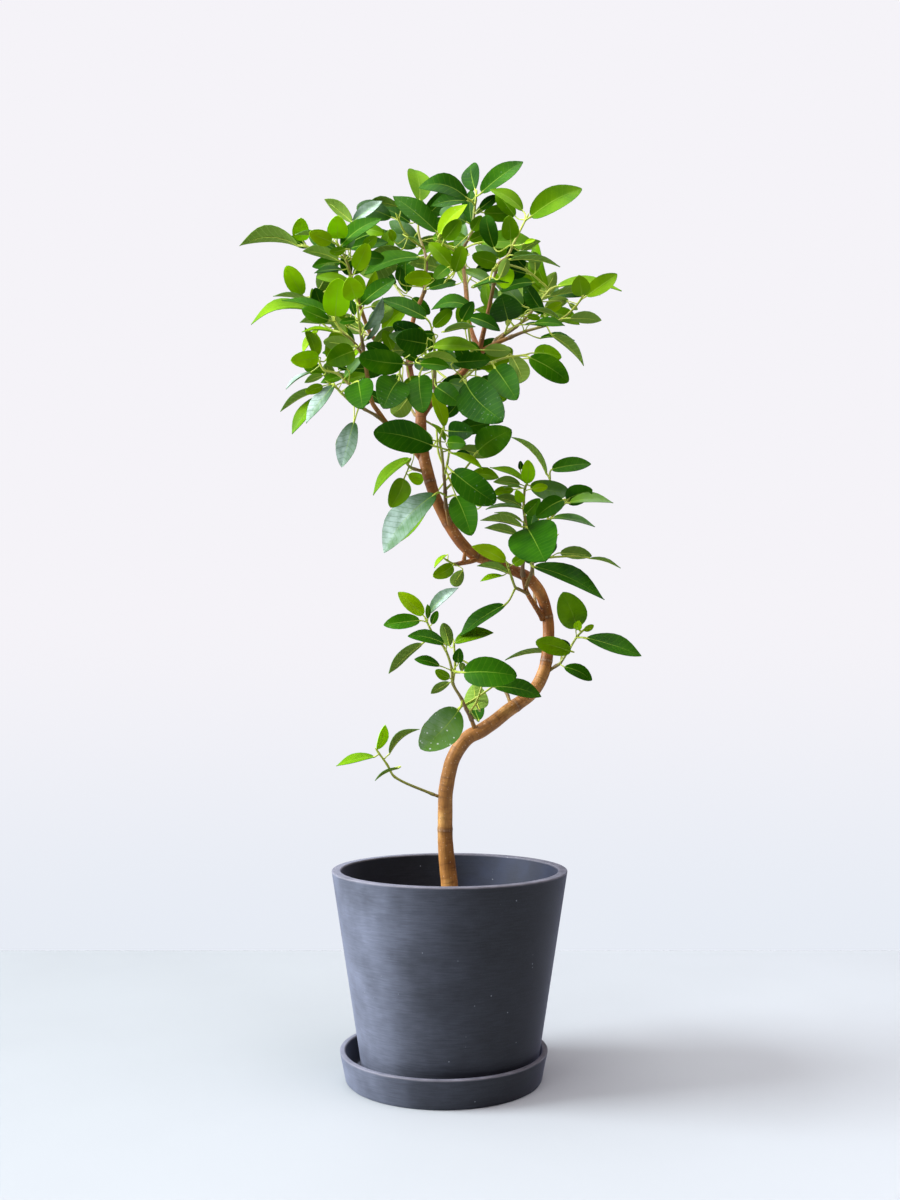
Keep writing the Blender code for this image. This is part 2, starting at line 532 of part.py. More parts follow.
def make_saucer(collection):
    rim_out = (SAUCER_RIM_RADIUS, SAUCER_HEIGHT)
    rim_in = (SAUCER_RIM_RADIUS - SAUCER_WALL, SAUCER_HEIGHT)
    base_out = (SAUCER_BASE_RADIUS, 0)
    inside = (SAUCER_BASE_RADIUS - SAUCER_WALL + 1, SAUCER_FLOOR)
    profile = [(0, SAUCER_FLOOR)]
    profile += rounded(inside, (0, SAUCER_FLOOR), rim_in, 2 * SAUCER_EDGE)
    profile += rounded(rim_in, inside, rim_out, SAUCER_EDGE)
    profile += rounded(rim_out, rim_in, base_out, SAUCER_EDGE)
    profile += rounded(base_out, rim_out, (0, 0), SAUCER_EDGE)
    profile.append((0, 0))
    saucer = turned("saucer", profile, collection)
    saucer.location.x = SAUCER_X * MM
    saucer.data.materials.append(make_material("saucer_stone", "stone"))
    return saucer


def make_soil(collection, cutters):
    floor = SAUCER_FLOOR + GAP + POT_FLOOR
    edge_top = SOIL_TOP - SOIL_EDGE_DROP
    profile = [
        (0, SOIL_TOP),
        (pot_inner_radius(edge_top) * 0.6, SOIL_TOP - 1),
        (pot_inner_radius(edge_top) - GAP, edge_top),
        (pot_inner_radius(floor + POT_FOOT_EDGE) - GAP, floor + POT_FOOT_EDGE),
        (pot_inner_radius(floor) - POT_FOOT_EDGE - GAP, floor + GAP),
        (0, floor + GAP),
    ]
    soil = turned("soil", profile, collection)
    depth = SOIL_TOP - TRUNK_FOOT + 2 * GAP
    bpy.ops.mesh.primitive_cylinder_add(
        vertices=16, radius=(TRUNK_FOOT_RADIUS + 2 * GAP) * MM, depth=2 * depth * MM,
        location=(0, 0, (TRUNK_FOOT - GAP + depth) * MM))
    cutter = bpy.context.object
    cutter.name = "trunk_hole"
    for holder in list(cutter.users_collection):
        holder.objects.unlink(cutter)
    cutters.objects.link(cutter)
    cutter.hide_render = True
    cutter.display_type = "WIRE"
    cut = soil.modifiers.new("trunk_hole", "BOOLEAN")
    cut.operation = "DIFFERENCE"
    cut.object = cutter
    soil.data.materials.append(make_material("potting_soil", "soil"))
    return soil


# Wood and stems

def tube(name, points, sides_resolution, collection):
    """A closed tapering tube through (point, radius) pairs."""
    curve = bpy.data.curves.new(name, "CURVE")
    curve.dimensions = "3D"
    curve.bevel_depth = MM
    curve.bevel_resolution = sides_resolution
    curve.use_fill_caps = True
    spline = curve.splines.new("POLY")
    spline.points.add(len(points) - 1)
    for target, (place, radius) in zip(spline.points, points):
        target.co = (*(place * MM), 1)
        target.radius = radius
    drawn = bpy.data.objects.new(name, curve)
    collection.objects.link(drawn)
    bpy.context.view_layer.update()
    mesh = bpy.data.meshes.new_from_object(drawn.evaluated_get(bpy.context.evaluated_depsgraph_get()))
    bpy.data.objects.remove(drawn)
    bm = bmesh.new()
    bm.from_mesh(mesh)
    bmesh.ops.remove_doubles(bm, verts=bm.verts, dist=1e-6)
    bmesh.ops.recalc_face_normals(bm, faces=bm.faces)
    bm.to_mesh(mesh)
    bm.free()
    piece = bpy.data.objects.new(name, mesh)
    collection.objects.link(piece)
    return piece


def fuse(piece, repeats):
    """Joins a collection of repeats to the piece they grow from, in one union."""
    union = piece.modifiers.new("grow_together", "BOOLEAN")
    union.operation = "UNION"
    union.operand_type = "COLLECTION"
    union.collection = repeats
    union.solver = "MANIFOLD"
    bpy.context.view_layer.update()
    depsgraph = bpy.context.evaluated_depsgraph_get()
    fused = bpy.data.meshes.new_from_object(piece.evaluated_get(depsgraph))
    piece.modifiers.clear()
    piece.data = fused
    for repeat in list(repeats.objects):
        bpy.data.objects.remove(repeat)
    bpy.data.collections.remove(repeats)
    fused.shade_smooth()
    fused.set_sharp_from_angle(angle=math.radians(40))
    return piece


def make_trunk(collection):
    wood = tube("trunk_and_limbs", stem_points(TRUNK), 2, collection)
    limbs = make_collection("limbs")
    for name, rows in LIMBS.items():
        tube(name, stem_points(rows), 1 if rows[0][3] > THICK_LIMB else 0, limbs)
    fuse(wood, limbs)
    wood.data.materials.clear()
    wood.data.materials.append(make_material("bark", "bark"))
    return wood


def first_stem(limb, rows):
    """A shoot's first stem, which starts a gap past its limb's end and leaves it straight."""
    (before, _), (end, radius) = stem_points(LIMBS[limb])[-2:]
    along = (end - before).normalized()
    return [(end + along * GAP, radius), (end + along * LIMB_RUN, radius)] + stem_points(rows)


# Leaves

def half_width(share):
    """Half the width of a blade over its greatest half width, at a share of its length."""
    return math.sin(math.pi * share ** 0.92) ** 0.6


def stalk_root(stems, base, axis):
    """The place on the nearest stem that a leaf's stalk comes from, favouring a gentle bend."""
    best = None
    beside_limb, *others = stems
    for points in [beside_limb[1:], *others]:
        for (start, _), (end, _) in zip(points, points[1:]):
            place, share = intersect_point_line(base, start, end)
            place = start.lerp(end, min(max(share, 0.1), 0.9))
            stalk = base - place
            bend = 1 - stalk.normalized().dot(axis) if stalk.length > 1 else 1
            cost = stalk.length + 9 * bend + 0.3 * max(place.z - base.z, 0)
            if best is None or cost < best[0]:
                best = (cost, place)
    return best[1]


class Leaf:
    """One leaf: the frame of its blade and the sheet of points that it is made from."""

    def __init__(self, row, stems, shift, nudge):
        x0, z0, x1, z1, width, depth = row[:6]
        depth = spread(z0, depth) + shift
        x0, x1 = x0 + nudge[0], x1 + nudge[0]
        z0, z1 = z0 + nudge[1], z1 + nudge[1]
        flat_tip = as_seen(x1, z1, depth)
        self.base = as_seen(x0, z0, depth)
        seen = (flat_tip - self.base).length
        length = max(seen, min(abs(width) / BLADE_RATIO, BROADEST_LEAF))
        reach = math.sqrt(length ** 2 - seen ** 2)
        toward = 1 if depth < 16 else -1
        tip = as_seen(x1, z1, depth - toward * reach)
        self.axis = (tip - self.base).normalized()
        self.length = (tip - self.base).length
        self.width = max(abs(width), 0.5 * self.length)
        self.arch = row[6] if len(row) > 6 else ARCH * self.length
        self.find_normal(width)
        self.side = self.normal.cross(self.axis)
        self.root = stalk_root(stems, self.base, self.axis)

    def find_normal(self, seen_width):
        """Turns the blade until it looks as wide as it is seen, with its upper side up."""
        view = (EYE - self.base).normalized()
        across = view.cross((self.axis - view * self.axis.dot(view)).normalized())
        facing = (view - self.axis * view.dot(self.axis)).normalized()
        outward = Vector((self.base.x, self.base.y, 0)).normalized()
        preferred = Vector((0, 0, 1)) - outward * self.axis.z
        turn = max(-1, min(1, seen_width / self.width))
        sign = 1 if across.dot(preferred) >= 0 else -1
        self.normal = facing * turn + across * sign * math.sqrt(1 - turn * turn)

    def stations(self):
        if self.length >= LONG_BLADE:
            return (0.2, 0.5, 0.8)
        return (0.46,) if self.length <= SHORT_BLADE else (0.27, 0.7)

    def blade_point(self, share, column):
        half = half_width(share) * self.width / 2 if 0 < share < 1 else STALK_HALF_WIDTH
        rise = self.arch * 4 * share * (1 - share) + abs(column) * half * math.sin(FOLD)
        if share == 0:
            rise = 0
        across = column * half * math.cos(FOLD)
        return self.base + self.axis * self.length * share + self.side * across + self.normal * rise

    def stalk_rows(self, start):
        """The two ends of the flat stalk, mitred to each other and to the blade."""
        along = (self.base - self.root).normalized()
        bisector = (along + self.axis).normalized()
        middle = (self.side - bisector * self.side.dot(bisector)).normalized()
        end = (middle - along * middle.dot(along)).normalized()
        root = self.root + along * start
        return [
            [root + end * side * STALK_ROOT_HALF_WIDTH for side in (-1, -1, 1)],
            [self.base + middle * side * STALK_HALF_WIDTH for side in (-1, -1, 1)],
        ]

    def sheet(self, start=0):
        """A mesh of the leaf's middle surface, its stalk cut back by `start` from its root."""
        rows = self.stalk_rows(start)
        rows += [[self.blade_point(t, c) for c in (-1, 0, 1)] for t in self.stations()]
        rows.append([self.base + self.axis * self.length] * 3)
        bm = bmesh.new()
        last = len(rows) - 1
        bmesh.ops.create_grid(bm, x_segments=2, y_segments=last, size=0.5)
        for vertex in bm.verts:
            column = round((vertex.co.x + 0.5) * 2)
            row = round((vertex.co.y + 0.5) * last)
            vertex.co = rows[row][column]
        bmesh.ops.remove_doubles(bm, verts=bm.verts, dist=0.01)
        bmesh.ops.triangulate(bm, faces=bm.faces)
        return bm

    def solid(self, name, collection):
        bm = self.sheet()
        bmesh.ops.scale(bm, vec=(MM, MM, MM), verts=bm.verts)
        mesh = bpy.data.meshes.new(name)
        bm.to_mesh(mesh)
        bm.free()
        piece = bpy.data.objects.new(name, mesh)
        collection.objects.link(piece)
        shell = piece.modifiers.new("thickness", "SOLIDIFY")
        shell.thickness = BLADE_THICKNESS * MM
        shell.offset = 0
        return piece


class Crowd:
    """What has been placed so far, for keeping each new leaf clear of it."""

    def __init__(self):
        self.wood = []          # (shoot name, point, radius) along every stem
        self.leaves = []        # (tree, lowest corner, highest corner)

    def add_stem(self, owner, points):
        for (start, r0), (end, r1) in zip(points, points[1:]):
            steps = max(2, int((end - start).length / STEM_SAMPLE))
            for i in range(steps + 1):
                share = i / steps
                self.wood.append((owner, start.lerp(end, share), r0 + (r1 - r0) * share))

    def corners(self, points):
        low = Vector([min(p[i] for p in points) for i in range(3)])
        high = Vector([max(p[i] for p in points) for i in range(3)])
        return low, high

    def tree_of(self, leaf, offset=0.0):
        bm = leaf.sheet(start=STALK_CUT)
        points = [v.co + leaf.normal * offset for v in bm.verts]
        tree = BVHTree.FromPolygons(points, [[v.index for v in f.verts] for f in bm.faces])
        bm.free()
        return tree, points

    def is_clear(self, leaf, owner):
        middle, points = self.tree_of(leaf)
        low, high = self.corners(points)
        blade_start = leaf.length * BLADE_START
        for name, place, radius in self.wood:
            reach = radius + CLEARANCE
            if any(place[i] < low[i] - reach or place[i] > high[i] + reach for i in range(3)):
                continue
            near, _, _, distance = middle.find_nearest(place, reach)
            if near is None:
                continue
            if name != owner or (near - leaf.base).dot(leaf.axis) > blade_start:
                return False
        sheets = [middle] + [self.tree_of(leaf, k * CLEARANCE)[0] for k in (-1, 1)]
        for tree, other_low, other_high in self.leaves:
            if any(other_low[i] > high[i] + CLEARANCE or other_high[i] < low[i] - CLEARANCE
                   for i in range(3)):
                continue
            if any(sheet.overlap(tree) for sheet in sheets):
                return False
        return True

    def place(self, row, owner, stems):
        """The leaf of a row, moved along the line of sight, or a little aside, until it is clear."""
        tries = [(nudge, attempt) for nudge in NUDGES for attempt in range(CLEAR_TRIES)]
        for nudge, attempt in tries:
            step = (attempt + 1) // 2 * CLEAR_STEP
            leaf = Leaf(row, stems, -step if attempt % 2 else step, nudge)
            if self.is_clear(leaf, owner):
                break
        else:
            leaf = Leaf(row, stems, 0, NUDGES[0])
            print("crowded leaf in", owner, row)
        tree, points = self.tree_of(leaf)
        self.leaves.append((tree, *self.corners(points)))
        return leaf


def rows_behind(shoot):
    """Rows of the leaves that lie behind the broad ones of the shoots in front."""
    rows = []
    sources = [row for name in shoot["behind"] for row in SHOOTS[name]["leaves"]]
    broad = [row for row in sources if abs(row[4]) >= BACK_LEAF_WIDTH
             and row[3] < BACK_LEAF_TOP and abs(row[2]) < BACK_LEAF_REACH]
    for i, row in enumerate(broad):
        mid_x, mid_z = (row[0] + row[2]) / 2, (row[1] + row[3]) / 2
        half_x, half_z = (row[2] - row[0]) / 2, (row[3] - row[1]) / 2
        scale = BACK_LEAF_SCALE
        depth = shoot["depth"] + BACK_DEPTH_STEP * ((i * 3) % 5 - 2)
        rows.append((mid_x - half_x * scale, mid_z - half_z * scale, mid_x + half_x * scale,
                     mid_z + half_z * scale, abs(row[4]) * scale, depth))
    return rows


def make_shoots(collection):
    crowd = Crowd()
    for rows in [TRUNK, *LIMBS.values()]:
        crowd.add_stem("wood", stem_points(rows))
    shoots = {**SHOOTS, **BACK_SHOOTS}
    stems = {}
    for name, shoot in shoots.items():
        first, *others = shoot["stems"]
        stems[name] = [first_stem(name, first)] + [stem_points(rows) for rows in others]
        for points in stems[name]:
            crowd.add_stem(name, points)
    for name, shoot in shoots.items():
        rows = shoot["leaves"] if "leaves" in shoot else rows_behind(shoot)
        repeats = make_collection(name + "_leaves")
        tubes = []
        for i, points in enumerate(stems[name]):
            holder = repeats if i else collection
            tubes.append(tube(f"shoot_{name}" if i == 0 else f"{name}_stem_{i}", points, 0, holder))
        for i, row in enumerate(rows):
            crowd.place(row, name, stems[name]).solid(f"{name}_leaf_{i}", repeats)
        piece = fuse(tubes[0], repeats)
        piece.data.materials.clear()
        piece.data.materials.append(make_material(f"{name}_leaf_green", "leaf"))


def main():
    clear_scene()
    parts = make_collection("potted_rusty_fig")
    cutters = make_collection("cutters")
    make_saucer(parts)
    make_pot(parts)
    make_soil(parts, cutters)
    make_trunk(parts)
    make_shoots(parts)
    for piece in parts.objects:
        if piece.name in ("saucer", "pot", "soil"):
            piece.data.shade_smooth()
            piece.data.set_sharp_from_angle(angle=math.radians(35))


main()
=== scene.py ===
from functools import partial
import math
import random

import bmesh
import bpy
from mathutils import Matrix, Vector, noise
from mathutils.bvhtree import BVHTree
from mathutils.geometry import intersect_point_line


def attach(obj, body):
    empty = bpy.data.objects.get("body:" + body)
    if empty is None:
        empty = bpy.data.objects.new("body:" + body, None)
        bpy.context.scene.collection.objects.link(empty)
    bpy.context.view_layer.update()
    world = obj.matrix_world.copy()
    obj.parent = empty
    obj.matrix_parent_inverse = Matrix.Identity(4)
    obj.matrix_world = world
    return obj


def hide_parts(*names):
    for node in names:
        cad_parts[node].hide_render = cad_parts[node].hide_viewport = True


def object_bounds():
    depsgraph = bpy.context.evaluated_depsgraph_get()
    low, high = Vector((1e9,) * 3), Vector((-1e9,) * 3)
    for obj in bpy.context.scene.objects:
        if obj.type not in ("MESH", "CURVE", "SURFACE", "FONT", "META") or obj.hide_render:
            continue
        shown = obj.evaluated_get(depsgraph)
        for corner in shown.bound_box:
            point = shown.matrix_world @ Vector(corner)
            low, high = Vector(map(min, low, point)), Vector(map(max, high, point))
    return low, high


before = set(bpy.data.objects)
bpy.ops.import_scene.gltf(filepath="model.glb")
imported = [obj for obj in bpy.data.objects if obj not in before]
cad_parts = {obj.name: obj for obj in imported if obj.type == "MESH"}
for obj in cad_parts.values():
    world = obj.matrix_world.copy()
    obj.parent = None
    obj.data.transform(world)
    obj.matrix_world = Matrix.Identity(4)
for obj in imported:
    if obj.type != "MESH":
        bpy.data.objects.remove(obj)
cadBox = [list(corner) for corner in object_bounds()]
mm = 0.001


def clamped(value, low=0, high=1):
    return min(max(value, low), high)


def alongCurve(a, b, c, d, t):
    return a * (1 - t) ** 3 + b * 3 * t * (1 - t) ** 2 + c * 3 * t * t * (1 - t) + d * t ** 3


def linear(hexColour):
    channels = [int(hexColour[i:i + 2], 16) / 255 for i in (1, 3, 5)]
    return (*[c / 12.92 if c <= 0.04045 else ((c + 0.055) / 1.055) ** 2.4 for c in channels], 1)


def setInputs(node, inputs):
    # inputs come by name or place, or all in order; each is a value, a hex colour, a socket, or a
    # node, which stands for its first output in use
    for key, value in inputs.items() if isinstance(inputs, dict) else enumerate(inputs):
        if isinstance(value, str):
            value = linear(value)
        if isinstance(value, bpy.types.Node):
            value = next(output for output in value.outputs if output.enabled)
        if isinstance(value, bpy.types.NodeSocket):
            node.id_data.links.new(value, node.inputs[key])
        else:
            node.inputs[key].default_value = value


def addNode(tree, kind, inputs=(), **settings):
    # a Mix takes its share at 0, two numbers at 2 and 3, and two colours at 6 and 7
    made = tree.nodes.new("ShaderNode" + kind)
    for key, value in settings.items():
        setattr(made, key, value)
    setInputs(made, inputs)
    return made


def setStops(rampNode, *stops):
    elements = rampNode.color_ramp.elements
    for element, (position, colour) in zip(elements, (stops[0], stops[-1])):
        element.position, element.color = position, linear(colour)
    for position, colour in stops[1:-1]:
        elements.new(position).color = linear(colour)


def newMaterial(name):
    material = bpy.data.materials.new(name)
    material.use_nodes = True
    tree = material.node_tree
    return material, partial(addNode, tree), tree.nodes["Principled BSDF"]


def keepMesh(bm, name, materials, closed=True):
    if closed:
        bmesh.ops.recalc_face_normals(bm, faces=bm.faces)
    mesh = bpy.data.meshes.new(name)
    bm.to_mesh(mesh)
    bm.free()
    for material in materials:
        mesh.materials.append(material)
    piece = bpy.data.objects.new(name, mesh)
    bpy.context.scene.collection.objects.link(piece)
    return piece


# Camera, light and floor

cameraSettings = {
    "lens": 35.25,
    "place": (0.0004, -1.0655, 0.3355),
    "pitch": 94.58,             # degrees up from looking straight down
}


def setCamera():
    data = bpy.data.cameras.new("camera")
    data.lens = cameraSettings["lens"]
    data.sensor_width = 36
    camera = bpy.data.objects.new("camera", data)
    camera.location = cameraSettings["place"]
    camera.rotation_euler = (math.radians(cameraSettings["pitch"]), 0, 0)
    bpy.context.scene.collection.objects.link(camera)
    bpy.context.scene.camera = camera


lampSettings = {
    "windowLeft": {"place": (-2.9, -0.3, 1.8), "aim": (0, 0, 0.3), "size": (1.6, 1.6), "power": 220,
                   "tint": "#f8fdff"},
    "softTop": {"place": (-0.5, -0.3, 2.6), "aim": (0, 0, 0.5), "size": (1.8, 1.8), "power": 60,
                "tint": "#fffdf8"},
    "softRight": {"place": (0.8, -0.6, 2.3), "aim": (0.1, 0, 0.3), "size": (1.6, 1.6), "power": 38,
                  "tint": "#fff2f8"},
}
roomSettings = {
    "wallTop": "#f5f3f8",       # pale lilac wall, far behind
    "wallFoot": "#e7ecf5",
    "fill": "#f1eef1",          # the light that the room sends back
    "fillLeft": 1.35,
    "fillRight": 0.14,
    "fillFront": 0.12,          # share of the fill that comes from the viewer's side
    "fillLow": 0.6,             # share of it near the horizon, against overhead
}


def setLights():
    for name, lamp in lampSettings.items():
        data = bpy.data.lights.new(name, "AREA")
        data.shape = "RECTANGLE"
        data.size, data.size_y = lamp["size"]
        data.energy = lamp["power"]
        data.color = linear(lamp["tint"])[:3]
        light = bpy.data.objects.new(name, data)
        light.location = lamp["place"]
        aim = Vector(lamp["aim"]) - light.location
        light.rotation_euler = aim.to_track_quat("-Z", "Y").to_euler()
        bpy.context.scene.collection.objects.link(light)
    world = bpy.data.worlds.new("paleStudio")
    world.use_nodes = True
    world.node_tree.nodes.clear()
    node = partial(addNode, world.node_tree)
    path = node("LightPath")
    way = node("TexCoord")
    split = node("SeparateXYZ", [way.outputs["Generated"]])
    rise = node("MapRange", [split.outputs["Z"], -0.22, 0.08], interpolation_type="SMOOTHSTEP")
    wallTint = node("Mix", {0: rise, 6: roomSettings["wallFoot"], 7: roomSettings["wallTop"]},
                    data_type="RGBA")
    wall = node("Background", {"Strength": 1.0, "Color": wallTint})
    aside = node("MapRange", [split.outputs["X"], -1.0, 1.0, roomSettings["fillLeft"],
                              roomSettings["fillRight"]])
    behind = node("MapRange", [split.outputs["Y"], -1.0, 0.4, roomSettings["fillFront"], 1.0])
    above = node("MapRange", [split.outputs["Z"], 0.0, 0.9, roomSettings["fillLow"], 1.0])
    strength = node("Math", [aside, behind], operation="MULTIPLY")
    strength = node("Math", [strength, above], operation="MULTIPLY")
    fill = node("Background", {"Color": roomSettings["fill"], "Strength": strength})
    shown = node("MixShader", [path.outputs["Is Camera Ray"], fill, wall])
    node("OutputWorld", [shown])
    bpy.context.scene.world = world
    bpy.context.scene.view_settings.view_transform = "Standard"


boardSettings = {
    "size": (6.0, 3.5),         # in metres
    "back": 0.51,               # its back edge, behind the pot's axis
    "tint": "#aab0b6",
    "left": 0.7,                # painted shade: it is this much greyer on its left, where the window lights it most
    "right": 0.95,
}


def makeFloor():
    # matt painted board, pale blue-white, with faint patches, and painted shade that greys it towards the
    # left, where the window lights it most
    material, node, shader = newMaterial("paintedBoard")
    place = node("TexCoord").outputs["Object"]
    patch = node("TexNoise", {"Scale": 1 / (160 * mm), "Detail": 2.0, "Vector": place})
    shade = node("MapRange", {0: patch, 3: 0.97, 4: 1.03})
    split = node("SeparateXYZ", [place])
    # painted shade: the board is greyed towards the left, where the window lights it most
    shadeToLeft = node("MapRange", [split.outputs["X"], -0.5, 0.45, boardSettings["left"], boardSettings["right"]])
    shade = node("Math", [shade, shadeToLeft], operation="MULTIPLY")
    tint = node("Mix", {0: 1.0, 6: boardSettings["tint"], 7: shade}, data_type="RGBA", blend_type="MULTIPLY")
    shader.inputs["Roughness"].default_value = 0.85
    setInputs(shader, {"Base Color": tint})
    bm = bmesh.new()
    bmesh.ops.create_grid(bm, x_segments=1, y_segments=1, size=0.5)
    bmesh.ops.scale(bm, verts=bm.verts, vec=(*boardSettings["size"], 1))
    shift = boardSettings["back"] - boardSettings["size"][1] / 2
    bmesh.ops.translate(bm, verts=bm.verts, vec=(0, shift, 0))
    floor = keepMesh(bm, "floor", [material], closed=False)


setCamera()
setLights()
makeFloor()
print("camera, floor and light are set")

# How the tree is placed. Tables are in millimetres, as seen from the front: x and z are on the
# plane of the pot's axis, and depth is behind (+) or in front of (-) it, along the line of sight.
treeSettings = {
    "eye": (0.4, -1065.5, 335.5),
    "crownFoot": 590.0,         # depths are drawn out between these heights
    "crownHead": 730.0,
    "crownSpread": 2.0,
    "crownDepth": 115.0,
    "gap": 0.3,
    "limbRun": 2.5,             # a shoot leaves its limb straight for this length
}
trunkFoot = 105.0
footRadius = 8.6

trunkRows = [
    (0, trunkFoot, 0, footRadius), (0, 150, 0, footRadius),
    (0, 165, 0, 7.6), (-2.3, 187, 0, 7.3), (-3.8, 205, -1, 6.8), (-3.9, 235, -4, 6.5),
    (-3.2, 250, -6, 6.6), (0.7, 270, -8, 6.5), (4.3, 280, -9, 6.5), (10.4, 290, -9, 6.5),
    (18, 297.5, -8, 6.5), (28, 302.5, -6, 6.5), (41.5, 311.5, -2, 6.3), (52, 320, 3, 6.2),
    (65.5, 329.5, 8, 6), (75, 337.5, 12, 6), (82, 348, 15, 5.8), (87, 362, 17, 5.6),
    (89.6, 382, 19, 5.4), (89.4, 402, 20, 5.3), (85.5, 420, 17, 5.3), (79, 433, 13, 5.5),
    (69, 443, 8, 5.4), (54, 449.5, 3, 4.8), (37, 456.5, -2, 4.7), (22.5, 462, -6, 5),
    (11, 473, -10, 5.4), (2.5, 485, -12, 5.3), (-6, 500, -14, 5.2), (-14, 518, -15, 5.1),
    (-20.5, 540, -12, 5.5), (-25, 560, -8, 5.4), (-26.3, 578, -4, 5.2), (-26.5, 592, 0, 5),
]

# Woody limbs, fused with the trunk; one ends where the leafy shoot of its name goes on
limbs = {
    "right_main": [(-26.5, 590, 0, 3.6), (-17, 603, -2, 3.3), (-2, 617, -6, 3.2),
                   (14, 633, -9, 3.1), (28, 652, -10, 3)],
    "top_left": [(-26.5, 590, 0, 3.7), (-32, 612, 3, 3.5), (-37, 635, 6, 3.2), (-37, 648, 8, 2.6),
                 (-34, 680, 12, 2.2), (-24, 707, 16, 1.8)],
    "upper_left": [(-37, 645, 8, 2.4), (-52, 655, 2, 2), (-62, 657, -2, 2), (-73, 668, -6, 1.9),
                   (-85, 700, -12, 1.7)],
    "left_top": [(-26, 552, -10, 2.8), (-45, 572, -18, 2.4), (-57, 583, -22, 2.3),
                 (-65, 594, -25, 2.2), (-72, 605, -28, 2), (-76, 628, -33, 1.8), (-80, 654, -38, 1.6)],
    "left_low": [(-57, 583, -22, 1.8), (-66, 590, -27, 1.5)],
    "left_mid": [(-73, 608, -28, 1.6), (-82, 614, -30, 1.4)],
    "yellow_left": [(-78.5, 645, -36, 1.4), (-85, 655, -37, 1.4)],
    "top_centre": [(28, 651, -10, 2.6), (21, 668, -6, 2.4), (17, 685, -2, 2.1), (15, 710, 4, 1.9),
                   (13, 730, 8, 1.7)],
    "top_right": [(27, 650, -10, 2.6), (31, 668, -14, 2.3), (35, 685, -17, 2.1),
                  (41, 715, -22, 1.7)],
    "right_lower": [(26.5, 650, -10, 2.4), (45, 660, -14, 2), (55, 664.5, -16, 1.8)],
    "right_upper": [(43, 659, -13, 1.8), (49, 665.5, -8, 1.6)],
    "crown_front": [(20, 642, -10, 1.8), (22, 640, -24, 1.6)],
    "centre_front": [(-12, 607.5, -4, 1.9), (-13, 613, -17, 1.6)],
    "front_left": [(-36, 640, 6, 2), (-39, 640, -10, 1.7)],
    "parallel": [(1, 487, -13, 2.2), (-1, 495, -21, 1.9), (-3, 505, -23, 1.8)],
    "trunk_left": [(-20, 538, -12, 1.6), (-30.5, 541, -14, 1.4)],
    "right_inner": [(85, 404, 18, 2.7), (78, 415, 8, 2.4), (70, 429, 0, 2.2), (67, 443, -6, 2)],
    "right_outer": [(69.3, 433, -2, 1.7), (74, 444, -12, 1.5)],
    "inner_green": [(71, 427, 0, 1.6), (63.5, 430.5, -7, 1.4)],
    "stub": [(28, 460, -4, 2), (20, 456.5, -10, 1.8), (8, 454, -15, 1.6)],
    "stub_spur": [(13, 455.5, -13, 1.3), (14, 464, -17, 1.2)],
    "right_low": [(86, 354, 16, 1.7), (95, 360, 14, 1.4)],
    "left_cluster": [(24, 301, -7, 2.2), (20, 312, -14, 1.8)],
    "low_left": [(-3, 241.5, -5, 1.6), (-14, 245.5, -6, 1.3)],
    "back_fork": [(-27, 586, -2, 2.2), (-27, 588, 16, 1.9)],
    "back_centre": [(-2, 617, -6, 2.1), (-1, 620, 14, 1.8)],
    "back_high": [(16, 690, -1, 1.7), (16.5, 694, 14, 1.5)],
    "back_left": [(-56, 656, 0, 1.8), (-56, 659, 16, 1.6)],
    "back_top": [(-33, 684, 12, 1.6), (-33, 688, 28, 1.4)],
    "back_right": [(40, 657, -13, 1.7), (41, 660, 8, 1.5)],
    "back_mid": [(78, 415, 8, 1.8), (78, 418, 30, 1.5)],
    "back_low": [(56, 323, 4, 1.8), (53, 333, 20, 1.5)],
}

